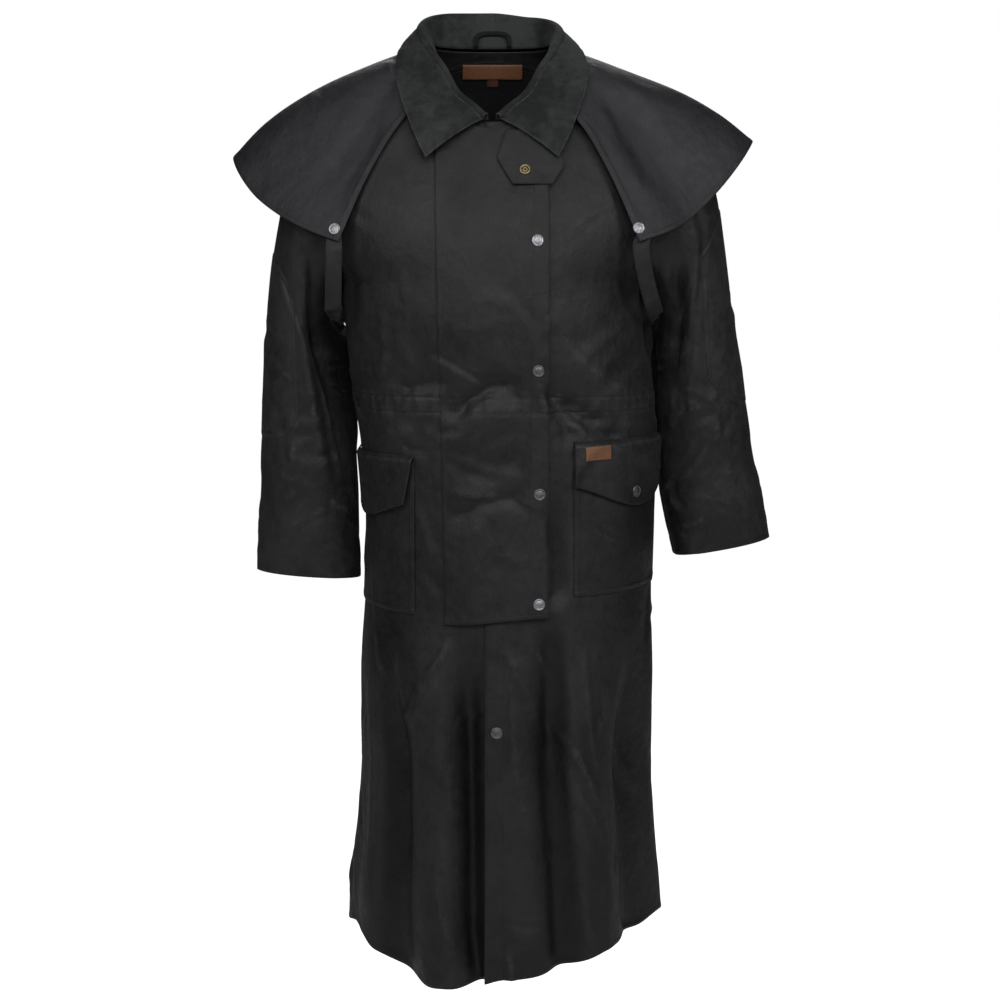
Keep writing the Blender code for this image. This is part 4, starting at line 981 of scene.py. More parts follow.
# Creases: sharper than the folds, each between two places on the cloth
BODY_CREASES = folds("""
0.00 413 -0.18 458 4 7 -1.8
0.05 536 -0.24 500 0 8 1.8
0.05 551 -0.23 581 3 8 -2.0
-0.03 623 0.05 641 0 7 1.2
0.02 470 -0.14 505 2 6 -1.2
0.06 330 -0.10 352 0 9 1.0
0.16 419 0.36 473 6 8 -2.6
0.30 465 0.74 506 4 8 -1.8
0.15 419 0.22 476 0 6 -2.0
0.14 380 0.17 470 0 6 -1.6
0.13 578 0.24 701 -4 7 -1.8
0.22 520 0.27 690 4 6 1.2
0.82 311 0.20 407 8 9 1.6
0.80 377 0.27 458 6 8 1.8
0.62 400 0.86 436 0 7 -1.6
-0.16 413 -0.42 422 3 7 -1.5
-0.52 437 -0.48 311 6 8 1.2
-0.30 400 -0.62 350 0 8 -1.2
-0.55 476 -0.26 470 2 7 1.8
0.18 464 0.76 464 3 7 1.8
-0.38 560 -0.28 635 0 6 -1.2
-0.22 734 -0.33 785 -6 5 2.0
-0.33 785 -0.48 851 -8 6 2.0
-0.67 734 -0.58 797 4 6 1.4
-0.57 827 -0.53 1091 6 8 -1.8
-0.44 900 -0.40 1120 -6 6 1.4
-0.18 875 -0.08 917 3 5 1.6
-0.21 857 -0.09 812 2 5 1.4
0.15 734 0.21 890 5 6 -1.6
0.21 890 0.29 1076 -4 7 -1.8
0.31 740 0.41 923 6 6 1.6
0.41 923 0.48 1115 -5 6 1.4
0.59 776 0.61 1031 6 7 -1.4
0.02 734 0.05 938 2 5 1.2
0.02 1091 0.18 1100 2 5 -1.4
0.05 950 0.16 941 2 5 1.2
-0.73 650 -0.70 728 2 6 1.4
-0.72 809 -0.67 1079 6 7 1.6
-0.26 1010 -0.20 1130 3 6 1.4
0.33 1040 0.37 1140 3 5 1.2
0.97 285 0.95 390 0 14 7.0
-1.03 285 -1.03 350 0 12 4.0
1.30 300 1.60 345 4 8 -1.8
2.72 300 2.42 350 4 8 -1.8
1.55 380 2.05 372 8 9 1.6
1.25 470 1.70 505 6 8 -1.8
2.80 462 2.30 500 -6 8 -1.8
1.40 650 1.46 900 6 8 1.6
1.85 720 1.88 1000 -6 8 -1.6
2.12 700 2.16 960 5 8 1.6
2.62 640 2.58 930 5 8 1.6
""")

# Soft folds that the fine cloth adds to the solid's, the last ones on the right front alone
DEEP_FOLDS = folds("""
0.18 720 0.41 1400 12 22 -14
0.25 760 0.44 1400 6 18 5
-0.50 760 -0.44 1400 0 26 -12
-0.36 740 -0.25 1400 4 18 6
-0.24 760 -0.17 1400 0 15 5
0.60 760 0.66 1400 0 24 -10
-0.80 760 -0.76 1400 0 24 -8
0.85 740 0.88 1400 0 22 6
-0.64 760 -0.60 1400 0 14 4
0.06 400 -0.20 452 6 13 -3.5
0.05 440 -0.22 500 4 15 3.0
0.06 500 -0.22 545 4 14 -3.5
0.04 560 -0.20 610 4 15 2.5
0.05 300 -0.16 360 4 18 2.0
0.16 400 0.42 470 6 12 -4.0
0.20 360 0.62 430 10 16 3.0
0.84 330 0.30 420 8 14 3.0
0.14 585 0.19 700 0 10 -4.0
-0.16 400 -0.45 420 3 13 -3.0
-0.60 395 -0.30 380 3 15 2.5
-0.52 440 -0.30 478 0 12 -2.5
""")

UNDERLAP_DEEP = folds("""
-0.13 735 -0.10 1400 3 15 -12
""")

SLEEVE_CREASES = {1: folds("""
78 110 106 290 5 9 2.8
172 190 166 600 0 24 5.5
180 130 176 330 0 26 7.0
118 210 142 300 -14 9 -3.0
142 300 118 350 -8 8 -2.0
92 300 112 420 4 9 1.8
62 455 120 440 4 8 1.4
92 500 144 540 6 8 -2.2
130 596 144 540 6 7 -2.4
104 612 144 618 3 6 1.8
70 520 112 560 4 8 1.4
40 380 74 410 4 8 1.0
-60 370 30 345 8 11 -1.8
-100 430 -20 465 6 10 1.8
-150 320 -110 410 6 11 -2.0
-140 495 -60 520 4 9 1.4
"""), -1: folds("""
112 150 132 330 6 9 2.6
172 190 166 600 0 24 5.5
180 130 176 330 0 26 7.0
132 330 142 545 -5 8 2.4
150 200 158 420 4 10 -3.0
60 255 120 300 4 8 -1.6
70 470 136 430 5 9 1.8
78 505 148 490 3 7 -1.8
55 530 110 548 3 7 1.4
120 565 150 585 3 6 1.8
40 380 86 400 4 8 1.0
-60 380 30 350 8 11 -1.8
-100 440 -20 470 6 10 1.8
-150 330 -110 420 6 11 -2.0
-140 500 -60 530 4 9 1.4
""")}

CAPE_CREASES = {
    1: folds("""
0.13 70 0.06 105 4 6 -1.8
0.10 60 0.20 72 2 6 1.4
0.14 120 0.10 262 6 8 -2.0
0.20 130 0.17 255 4 8 1.8
0.25 105 0.24 260 -6 9 -1.4
0.06 150 0.05 250 3 7 1.0
0.42 120 0.45 260 6 9 1.4
0.70 100 0.68 250 6 10 -1.6
0.90 90 0.88 250 5 10 1.4
"""),
    -1: folds("""
0.26 42 0.14 66 4 6 -1.6
0.24 56 0.12 88 3 6 1.6
0.30 150 0.24 172 3 5 1.6
0.06 140 0.05 255 4 8 -1.0
0.16 120 0.14 250 6 9 1.2
0.44 120 0.42 260 6 9 1.4
0.70 100 0.72 250 6 10 -1.6
0.90 90 0.92 250 5 10 1.4
"""),
}


def scattered(seed, count, a_span, b_span, lean, length, height):
    """A table of small creases at places drawn from a seeded list; lean is their slope in degrees."""
    draw = np.random.default_rng(seed)
    rows = []
    for _ in range(count):
        a = draw.uniform(*a_span)
        b = draw.uniform(*b_span)
        angle = math.radians(draw.normal(*lean))
        reach = draw.uniform(*length)
        rows.append((a, b, a + reach * math.cos(angle) / QUARTER_GIRTH, b + reach * math.sin(angle),
                     draw.normal(0, reach * 0.06), draw.uniform(4, 9),
                     draw.choice((-1, 1)) * draw.uniform(*height)))
    return folds("\n" + "\n".join(" ".join(repr(float(value)) for value in row) for row in rows))


SMALL_CREASES = (
    scattered(11, 60, (-1, 3), (730, 1130), (88, 12), (50, 190), (0.8, 2.2)),
    scattered(12, 46, (-1, 3), (370, 560), (8, 24), (30, 90), (0.8, 2.2)),
    scattered(13, 24, (-1, 3), (150, 370), (20, 40), (40, 110), (0.4, 1.1)),
    scattered(14, 26, (-1, 3), (560, 760), (70, 30), (30, 100), (0.8, 2.0)),
)
SLEEVE_SMALL = scattered(15, 46, (-0.6, 0.6), (240, 640), (35, 45), (25, 80), (0.7, 1.8))


def waist_relief(across, drop):
    """The waist's casing: two sewn lines with puckers between and just above them."""
    first, last = WAIST_LINES
    inside = ease(first - PUCKER_ABOVE, first + 2, drop) * (1 - ease(last - 2, last + PUCKER_BELOW, drop))
    run = across * QUARTER_GIRTH
    wave = np.sin(run / 3.1 + 2.0 * np.sin(run / 23)) + 0.7 * np.sin(run / 5.3 + drop / 9)
    depth = WAIST_PUCKER * inside * wave
    for line in WAIST_LINES:
        depth = depth - WAIST_GROOVE * np.exp(-((drop - line) / 1.6) ** 2)
    return depth


def cloth_relief(across, drop):
    """What the cloth's own creases add to the folded body."""
    depth = crease_depth(BODY_CREASES, across, drop, QUARTER_GIRTH, 4) + waist_relief(across, drop)
    depth = depth + fold_depth(DEEP_FOLDS, across, drop, QUARTER_GIRTH, 4)
    for rows in SMALL_CREASES:
        depth = depth + crease_depth(rows, across, drop, QUARTER_GIRTH, 4)
    return depth * ease(SHOULDER_DROP, 120, drop)


# Grids: rows run down the cloth and columns to the viewer's right, seen from outside


def places(length, pitch, first=(), last=()):
    """Places from 0 to 1 along a length, close together at the sewn lines near its two ends."""
    spots = [0.0, length]
    for line in first:
        spots += [line + step * STITCH_STEP for step in (-2, -1, 0, 1, 2)]
    for line in last:
        spots += [length - line + step * STITCH_STEP for step in (-2, -1, 0, 1, 2)]
    if first:
        spots.append(0.8)
    if last:
        spots.append(length - 0.8)
    spots = sorted(spot for spot in spots if 0 <= spot <= length)
    found = [0.0]
    for spot in spots:
        gap = spot - found[-1]
        if gap > 0.6:
            count = max(1, math.ceil(gap / pitch))
            found += list(np.linspace(found[-1], spot, count + 1)[1:])
    found[-1] = length
    return np.array(found) / length


def column_lines(first, last, width, pitch, first_seams=(), last_seams=()):
    """Lines down the body between two lines, at the places that a width asks for."""
    return [between(first, last, part) for part in places(width, pitch, first_seams, last_seams)]


def line_top(line):
    """The drop where a line down the body meets the neckline or the shoulder seam."""
    top = NECK_FRONT_DROP
    for _ in range(30):
        top = float(top_drop(line(np.float64(top))))
    return top


def line_hem(line):
    return float(hem_drop(line(np.float64(HEM_DROP))))


def even_rows(parts):
    """Rows at the same parts of the way down every line."""
    return lambda start, stop: start + (stop - start) * parts


def panel_rows(pitch):
    """Rows of a whole panel: in parts down to the armpit, at fixed drops past the waist, then in parts."""
    upper = places(ARMPIT_DROP, pitch, (8,))
    fixed = ARMPIT_DROP + (FLAP_END_DROP - ARMPIT_DROP) * places(
        FLAP_END_DROP - ARMPIT_DROP, pitch, [line - ARMPIT_DROP for line in WAIST_LINES])
    lower = places(HEM_DROP - FLAP_END_DROP, pitch, (), (7,))

    def rows(start, stop):
        return np.concatenate([start + (ARMPIT_DROP - start) * upper, fixed[1:],
                               FLAP_END_DROP + (stop - FLAP_END_DROP) * lower[1:]])

    return rows


def body_sheet(lines, rows, top, bottom, lift, gap_sign=0):
    """Points of a layer of the body; top and bottom give each line's two drops."""
    drop = np.stack([rows(top(line), bottom(line)) for line in lines], axis=1)
    across = np.stack([line(drop[:, i]) for i, line in enumerate(lines)], axis=1)
    points = body(across, drop, lift(across, drop))
    points[..., 1] += gap_sign * SHOULDER_SEAM_GAP * (1 - ease(SHOULDER_DROP, ARMPIT_DROP, drop))
    return points


def grid_normals(grid, tube):
    """Outward directions of a grid."""
    down = np.gradient(grid, axis=0)
    if tube:
        along = (np.roll(grid, -1, axis=1) - np.roll(grid, 1, axis=1)) / 2
    else:
        along = np.gradient(grid, axis=1)
    return unit(np.cross(down, along))


def edge_distances(grid):
    """How far each point is from the grid's four edges, along the cloth."""
    down = np.linalg.norm(np.diff(grid, axis=0), axis=-1)
    along = np.linalg.norm(np.diff(grid, axis=1), axis=-1)
    top = np.concatenate([np.zeros((1, grid.shape[1])), np.cumsum(down, axis=0)])
    left = np.concatenate([np.zeros((grid.shape[0], 1)), np.cumsum(along, axis=1)], axis=1)
    return {"top": top, "bottom": top[-1:] - top, "left": left, "right": left[:, -1:] - left}


def seam_relief(distance, lines, rise):
    """Height of a turned edge: rounded at the edge, thick to its last stitch line, grooved at each."""
    height = rise * (1 - ease(lines[-1] + 0.5, lines[-1] + 3.0, distance)) - 0.8 * np.exp(-distance / 0.9)
    for line in lines:
        height = height - STITCH_GROOVE * np.exp(-((distance - line) / 1.3) ** 2)
    return height


def line_points(grid, out, distances, edge, line):
    """Points and outward directions along a line at this distance from an edge."""
    reach = distances[edge]
    if edge in ("left", "right"):
        grid, out, reach = (np.swapaxes(values, 0, 1) for values in (grid, out, reach))
    if edge in ("bottom", "right"):
        grid, out, reach = grid[::-1], out[::-1], reach[::-1]
    i = np.clip((reach < line).sum(axis=0), 1, len(reach) - 1)
    column = np.arange(reach.shape[1])
    low, high = reach[i - 1, column], reach[i, column]
    part = np.clip((line - low) / np.maximum(high - low, 1e-6), 0, 1)[:, None]
    points = grid[i - 1, column] * (1 - part) + grid[i, column] * part
    return points, unit(out[i - 1, column] * (1 - part) + out[i, column] * part)


def ridge(grid, tube):
    """How sharply the cloth stands out at each point, for the wear on its ridges."""
    out = grid_normals(grid, tube)
    total = np.zeros(grid.shape[:2])
    for axis in (0, 1):
        ahead = np.roll(grid, -1, axis=axis)
        behind = np.roll(grid, 1, axis=axis)
        span = np.linalg.norm(ahead - grid, axis=-1) * np.linalg.norm(grid - behind, axis=-1)
        bend = -((ahead + behind - 2 * grid) * out).sum(axis=-1) / np.maximum(span, 0.5)
        if axis == 0:
            bend[0] = bend[-1] = 0
        elif not tube:
            bend[:, 0] = bend[:, -1] = 0
        total = total + bend
    return total


# Meshes


def hollow(grid, tube):
    """How far each point stands out from the cloth around it: below zero in the folds' troughs."""
    soft_grid = grid
    for axis in (0, 1):
        reach = min(HOLLOW_REACH, grid.shape[axis] - 1)
        ends = [(0, 0)] * 3
        ends[axis] = (reach, reach)
        if axis == 1 and tube:
            wide = np.pad(soft_grid, ends, mode="wrap")
        else:
            wide = np.pad(soft_grid, ends, mode="reflect", reflect_type="odd")
        count = grid.shape[axis]
        window = 2 * reach + 1
        soft_grid = sum(np.take(wide, range(shift, shift + count), axis=axis) for shift in range(window))
        soft_grid = soft_grid / window
    return ((grid - soft_grid) * grid_normals(grid, tube)).sum(axis=-1)


def painted_shade_bands(grid):
    """How much painted shade the skirt's bands give each point, from 0 to 1."""
    x, z = grid[..., 0], grid[..., 2]
    painted_shade_strength = np.zeros(x.shape)
    for x0, z0, x1, z1, width, strength in PAINTED_SHADE_BANDS:
        part = np.clip((z - z0) / (z1 - z0), 0, 1)
        beyond = np.where(part > 0, 0, z - z0)
        apart = np.hypot(x - x0 - (x1 - x0) * part, beyond / 2)
        painted_shade_strength = np.maximum(painted_shade_strength, strength * np.exp(-(apart / width) ** 2))
    return painted_shade_strength


def new_object(name, vertices, faces, finish, smooth_faces=True):
    mesh = bpy.data.meshes.new(name)
    mesh.from_pydata((np.asarray(vertices) * MM).tolist(), [], faces)
    mesh.materials.append(finish)
    if smooth_faces:
        mesh.shade_smooth()
    made = bpy.data.objects.new(name, mesh)
    bpy.context.scene.collection.objects.link(made)
    return made


def grid_faces(rows, columns, tube):
    """Four-sided faces of a grid."""
    last = columns if tube else columns - 1
    r, c = np.meshgrid(np.arange(rows - 1), np.arange(last), indexing="ij")
    a = r * columns + c
    b = r * columns + (c + 1) % columns
    return np.stack([a, a + columns, b + columns, b], axis=-1).reshape(-1, 4).tolist()


def thread_rows(name, rows, finish):
    """Stitches along rows of points: each one a small eight-sided grain of thread."""
    vertices = []
    faces = []
    for points, out in rows:
        lengths = np.concatenate([[0], np.cumsum(np.linalg.norm(np.diff(points, axis=0), axis=-1))])
        count = int(lengths[-1] / THREAD_PITCH)
        if count < 1:
            continue
        middles = (np.arange(count) + 0.5) * lengths[-1] / count
        for middle in middles:
            ends = [middle - THREAD_LENGTH / 2, middle + THREAD_LENGTH / 2]
            a, m, b = (np.array([np.interp(at, lengths, points[:, k]) for k in range(3)])
                       for at in (ends[0], middle, ends[1]))
            n = unit(np.array([np.interp(middle, lengths, out[:, k]) for k in range(3)]))
            side = unit(np.cross(n, b - a)) * THREAD_WIDTH / 2
            start = len(vertices)
            rise = n * THREAD_RISE
            vertices += [a, m + side + rise / 3, m + rise, m - side + rise / 3, b, m - n * 0.3]
            for one, two in ((1, 2), (2, 3), (3, 5), (5, 1)):
                faces.append((start, start + one, start + two))
                faces.append((start + 4, start + two, start + one))
    made = new_object(name, vertices, faces, finish)
    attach(made, "root")
    return made


# Finishes


def principled(name):
    made = bpy.data.materials.new(name)
    made.use_nodes = True
    return made, made.node_tree.nodes, made.node_tree.links, made.node_tree.nodes["Principled BSDF"]


def noise(nodes, links, scale, detail, stretch=(1, 1, 1), roughness=0.55):
    """Noise in the object's own space, per metre."""
    place = nodes.new("ShaderNodeTexCoord")
    shape = nodes.new("ShaderNodeMapping")
    shape.inputs["Scale"].default_value = stretch
    made = nodes.new("ShaderNodeTexNoise")
    made.inputs["Scale"].default_value = scale
    made.inputs["Detail"].default_value = detail
    made.inputs["Roughness"].default_value = roughness
    links.new(place.outputs["Object"], shape.inputs["Vector"])
    links.new(shape.outputs["Vector"], made.inputs["Vector"])
    return made.outputs["Fac"]


def levels(nodes, links, value, low, high, out_low, out_high):
    """A value from one range to another, held at the ends."""
    made = nodes.new("ShaderNodeMapRange")
    made.inputs["From Min"].default_value = low
    made.inputs["From Max"].default_value = high
    made.inputs["To Min"].default_value = out_low
    made.inputs["To Max"].default_value = out_high
    links.new(value, made.inputs["Value"])
    return made.outputs["Result"]


def combine(nodes, links, operation, first, second):
    made = nodes.new("ShaderNodeMath")
    made.operation = operation
    for socket, value in zip(made.inputs, (first, second)):
        if isinstance(value, (int, float)):
            socket.default_value = value
        else:
            links.new(value, socket)
    return made.outputs["Value"]


def bump(nodes, links, height, distance, strength, before=None):
    made = nodes.new("ShaderNodeBump")
    made.inputs["Distance"].default_value = distance
    made.inputs["Strength"].default_value = strength
    links.new(height, made.inputs["Height"])
    if before:
        links.new(before, made.inputs["Normal"])
    return made.outputs["Normal"]


def attribute(nodes, name):
    made = nodes.new("ShaderNodeAttribute")
    made.attribute_name = name
    return made.outputs["Fac"]


def mixed(nodes, links, part, first, second):
    """A colour between two colours."""
    made = nodes.new("ShaderNodeMix")
    made.data_type = "RGBA"
    made.inputs["A"].default_value = (*first, 1)
    if isinstance(second, tuple):
        made.inputs["B"].default_value = (*second, 1)
    else:
        links.new(second, made.inputs["B"])
    links.new(part, made.inputs["Factor"])
    return made.outputs["Result"]


def waxed_cloth(name, dark, pale, worn_color, roughness, edge=0.12, mottle=1.0, crackled=0.3, rubbing=0.45,
                painted_shade_strength=0.0):
    """Waxed cotton: mottled, paler where it is rubbed on ridges and edges, with a fine weave; given a
    strength, it also gets painted shade, darker and glossier in its folds' troughs and on the skirt's bands.
    """
    made, nodes, links, shader = principled(name)
    blotch = noise(nodes, links, 11, 5)
    wax = noise(nodes, links, 75, 6, (1, 1, 1), 0.65)
    tone = combine(nodes, links, "MULTIPLY_ADD", blotch, 0.6)
    links.new(combine(nodes, links, "MULTIPLY", wax, 0.4), tone.node.inputs[2])
    spread = 0.09 / mottle
    base = mixed(nodes, links, levels(nodes, links, tone, 0.5 - spread, 0.5 + spread, 0, 1), dark, pale)
    # Painted shade: the base colour is mixed towards a darker one in the folds' troughs and on the skirt's
    # bands.
    if painted_shade_strength:
        deep = tuple(0.4 * value for value in dark)
        trough = levels(nodes, links, attribute(nodes, "painted_shade"), *TROUGH_RANGE, 1 - painted_shade_strength, 1)
        base = mixed(nodes, links, trough, deep, base)
    ridge_wear = levels(nodes, links, attribute(nodes, "worn"), 0.02, 0.11, 0, rubbing)
    edge_wear = levels(nodes, links, attribute(nodes, "near"), 0.2, 1.8, edge, 0)
    rubbed = combine(nodes, links, "MAXIMUM", ridge_wear, edge_wear)
    patchy = levels(nodes, links, noise(nodes, links, 170, 4), 0.38, 0.62, 0.1, 1)
    rubbed = combine(nodes, links, "MULTIPLY", rubbed, patchy)
    worn = nodes.new("ShaderNodeMix")
    worn.data_type = "RGBA"
    links.new(rubbed, worn.inputs["Factor"])
    links.new(base, worn.inputs["A"])
    worn.inputs["B"].default_value = (*worn_color, 1)
    links.new(worn.outputs["Result"], shader.inputs["Base Color"])
    gloss = levels(nodes, links, wax, 0.35, 0.65, roughness - 0.07, roughness + 0.09)
    if painted_shade_strength:
        gloss = combine(nodes, links, "MULTIPLY", gloss, levels(nodes, links, attribute(nodes, "painted_shade"),
                                                                *TROUGH_RANGE, 0.72, 1))
    links.new(gloss, shader.inputs["Roughness"])
    crumple = bump(nodes, links, noise(nodes, links, 24, 4, (1, 1, 0.6)), 0.012, 0.3)
    crackle = bump(nodes, links, noise(nodes, links, 95, 5, (1, 1, 0.8), 0.6), 0.003, crackled, crumple)
    grain = bump(nodes, links, noise(nodes, links, 1100, 2), 0.0005, 0.4, crackle)
    links.new(grain, shader.inputs["Normal"])
    shader.inputs["Specular IOR Level"].default_value = 0.4
    shader.inputs["Sheen Weight"].default_value = 0.03
    shader.inputs["Sheen Roughness"].default_value = 0.4
    return made


def metal(name, color, roughness):
    made, nodes, links, shader = principled(name)
    shader.inputs["Metallic"].default_value = 1.0
    dull = noise(nodes, links, 500, 4)
    links.new(mixed(nodes, links, levels(nodes, links, dull, 0.35, 0.7, 0, 1), color,
                    tuple(0.45 * c for c in color)), shader.inputs["Base Color"])
    links.new(levels(nodes, links, dull, 0.3, 0.7, roughness, roughness + 0.2), shader.inputs["Roughness"])
    return made


def tan_leather(name):
    made, nodes, links, shader = principled(name)
    grain = noise(nodes, links, 700, 5)
    links.new(mixed(nodes, links, levels(nodes, links, grain, 0.35, 0.65, 0, 1), (0.2, 0.085, 0.04),
                    (0.29, 0.135, 0.07)), shader.inputs["Base Color"])
    shader.inputs["Roughness"].default_value = 0.55
    links.new(bump(nodes, links, grain, 0.0008, 0.4), shader.inputs["Normal"])
    return made


def plain(name, color, roughness):
    made, nodes, links, shader = principled(name)
    shader.inputs["Base Color"].default_value = (*color, 1)
    shader.inputs["Roughness"].default_value = roughness
    return made


FACING_THREAD = plain("facing_thread", (0.10, 0.075, 0.05), 0.7)
TAN_THREAD = plain("tan_thread", (0.42, 0.24, 0.12), 0.6)
TAG = waxed_cloth("size_tag", (0.10, 0.03, 0.018), (0.15, 0.05, 0.03), (0.2, 0.08, 0.05), 0.8)
# The body's and the sleeves' cloth get shade painted into their troughs and the skirt's bands.
WAXED = waxed_cloth("waxed_cotton", (0.017, 0.017, 0.0182), (0.029, 0.029, 0.0308), (0.07, 0.07, 0.073), 0.52,
                    painted_shade_strength=0.8)
CAPE_CLOTH = waxed_cloth("cape_cloth", (0.020, 0.0202, 0.0232), (0.032, 0.0325, 0.037),
                         (0.075, 0.075, 0.082), 0.5, 0.12, 0.55, 0.12)
BRUSHED = waxed_cloth("collar_cloth", (0.013, 0.0142, 0.0142), (0.046, 0.0485, 0.048),
                      (0.12, 0.125, 0.12), 0.85, 0.6, 1.3, 0.2)
SLEEVE_CLOTH = waxed_cloth("sleeve_cloth", (0.019, 0.019, 0.0202), (0.034, 0.034, 0.036),
                           (0.08, 0.08, 0.083), 0.5, painted_shade_strength=0.8)
PATCH_CLOTH = waxed_cloth("patch_cloth", (0.022, 0.022, 0.0232), (0.040, 0.040, 0.042),
                          (0.08, 0.08, 0.083), 0.5)
LINING = waxed_cloth("lining_cloth", (0.003, 0.0034, 0.005), (0.005, 0.006, 0.008), (0.01, 0.01, 0.012), 0.8)
THREAD = plain("thread", (0.017, 0.017, 0.018), 0.6)
LEATHER = tan_leather("leather")
NICKEL = metal("nickel", (0.62, 0.62, 0.66), 0.4)
OLD_NICKEL = metal("old_nickel", (0.3, 0.3, 0.31), 0.42)
BRASS = metal("brass", (0.62, 0.5, 0.26), 0.3)


# Body panels and what lies on them


def cloth(node, grid, wall, seams=None, tube=False, rise=0.5, inner=(),
          finish=WAXED, thread=THREAD, prefix="cloth_"):
    """A thin shell through a grid of points, with its sewn edges, its inner seams and their stitches."""
    seams = seams or {}
    out = grid_normals(grid, tube)
    distances = edge_distances(grid)
    # The third value is painted shade: how deep each point lies in a trough, plus the skirt's bands of
    # painted shade.
    looks = {"worn": ridge(grid, tube), "near": np.full(grid.shape[:2], FAR_FROM_SEAM),
             "painted_shade": hollow(grid, tube) + PAINTED_SHADE_DEPTH * painted_shade_bands(grid)}
    height = np.zeros(grid.shape[:2])
    for edge, lines in seams.items():
        height = height + seam_relief(distances[edge], lines, rise)
        looks["near"] = np.minimum(looks["near"], distances[edge])
    grid = grid + out * height[..., None]
    made = new_object(prefix + node, grid.reshape(-1, 3), grid_faces(*grid.shape[:2], tube), finish)
    for label, values in looks.items():
        layer = made.data.attributes.new(label, "FLOAT", "POINT")
        layer.data.foreach_set("value", values.astype(np.float32).ravel())
    thick = made.modifiers.new("Cloth", "SOLIDIFY")
    thick.thickness = wall * MM
    thick.offset = -1
    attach(made, "root")
    if prefix:
        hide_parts(node)
    sewn = [line_points(grid, out, distances, edge, line) for edge, lines in seams.items() for line in lines]
    sewn += [(grid[row, first:last], out[row, first:last]) for row, first, last in inner]
    extra = [thread_rows("stitches_" + node, sewn, thread)] if sewn else []


def seam_row(lines, rows, drop, low, high):
    """The row at a drop, from the first to the last line whose place there is within two bounds."""
    at = rows(line_top(lines[0]), line_hem(lines[0]))
    row = int(np.argmin(np.abs(at - drop)))
    inside = [i for i, line in enumerate(lines) if low <= float(line(np.float64(drop))) <= high]
    return row, inside[0], inside[-1] + 1


def make_panel(node, first, last, width, lift, gap_sign, bounds, seams):
    """A front or the back, from neck and shoulder to hem, sewn along the waist between two bounds."""
    rows = panel_rows(CLOTH_PITCH)
    lines = column_lines(first, last, width, CLOTH_PITCH, seams["left"], seams.get("right", ()))
    grid = body_sheet(lines, rows, line_top, line_hem, lift, gap_sign)
    inner = [seam_row(lines, rows, drop, *bounds(np.float64(drop))) for drop in WAIST_LINES]
    cloth(node, grid, BODY_WALL, inner=inner, seams=seams)


def make_layer(node, first, last, size, top, bottom, lift, cut, on, seams, top_lines=()):
    """A smaller sheet that lies on a panel."""
    lines = column_lines(first, last, size[0], FINE_PITCH, seams["left"], seams["right"])
    rows = even_rows(places(size[1], FINE_PITCH, seams.get("top", top_lines), seams["bottom"]))
    grid = body_sheet(lines, rows, top, bottom, lift)
    cloth(node, grid, TRIM_WALL, seams=seams)


def make_body():
    left_side = side_line(1)
    make_panel("front_left", fixed_line(OVERLAP_EDGE), left_side, FRONT_WIDTH, overlap_lift, -1,
               lambda drop: (across_at(FLAP_EDGE, drop), 2),
               dict(left=OVERLAP_LINES, right=DOUBLE, bottom=HEM_LINES))
    make_panel("front_right", side_line(-1), fixed_line(UNDERLAP_EDGE), FRONT_WIDTH, underlap_lift, -1,
               lambda drop: (-2, flap_seam_line(drop) - 0.01), dict(left=DOUBLE, bottom=HEM_LINES))
    make_panel("back_body", left_side, side_line(3), BACK_WIDTH, no_lift, 1, lambda drop: (-4, 4),
               dict(left=DOUBLE, right=DOUBLE, bottom=HEM_LINES))


def flap_top(line):
    top = FLAP_TOP
    for _ in range(10):
        x = float(plain_body(line(np.float64(top)), np.float64(top))[0])
        top = FLAP_TOP - FLAP_TOP_RISE * (x / FLAP_SEAM_X) ** 2
    return top


def flap_bottom(line):
    x = float(plain_body(line(np.float64(FLAP_END_DROP)), np.float64(FLAP_END_DROP))[0])
    return FLAP_RIGHT_END + (FLAP_LEFT_END - FLAP_RIGHT_END) * float(ease(FLAP_SEAM_X, FLAP_EDGE, x))


def make_storm_flap():
    seams = dict(left=SINGLE, right=FLAP_LINES, bottom=FLAP_END_LINES)
    make_layer("storm_flap", flap_seam_line, fixed_line(FLAP_EDGE), FLAP_SIZE, flap_top, flap_bottom,
               flap_lift, (0.145, 0.66, 0.094), "front_right", seams, SINGLE)


def level(drop):
    """The same drop on every line."""
    return lambda line: drop


def pocket_flap_edge(side):
    """The drop of a pocket flap's pointed lower edge on each line."""
    shape = POCKETS[side]

    def of_line(line):
        place = float(line(np.float64(shape["top"])))
        part = np.clip((place - shape["front"]) / (shape["back"] - shape["front"]), 0, 1)
        return float(smooth(POCKET_FLAPS[side], "way", "drop", part))

    return of_line


def make_pockets():
    """Both pockets and their flaps; a pocket's far edge lies near the side seam."""
    far_lines = {1: between(fixed_line(FLAP_EDGE), side_line(1), POCKET_FAR),
                 -1: between(side_line(-1, -SEAM_TRIM), flap_seam_line, 1 - POCKET_FAR)}
    for name, side in SIDES:
        shape = POCKETS[side]
        top = shape["top"]
        left, right = (DOUBLE, SINGLE)[::side]
        make_layer("pocket_" + name, *(fixed_line(shape["x"]), far_lines[side])[::side], POCKET_SIZE,
                   level(top + POCKET_INSET), level(shape["end"]), pocket_lift(side), (0.16, 0.2, 0.031),
                   "front_" + name, dict(left=left, right=right, bottom=DOUBLE))
        front = slanted_line(shape["x"], shape["slant"], top)
        make_layer("pocket_flap_" + name, *(front, far_lines[side])[::side], POCKET_FLAP_SIZE, level(top),
                   pocket_flap_edge(side), pocket_flap_lift(side), (0.16, 0.09, 0.012), "pocket_" + name,
                   dict(left=SINGLE, right=SINGLE, bottom=SINGLE, top=DOUBLE))


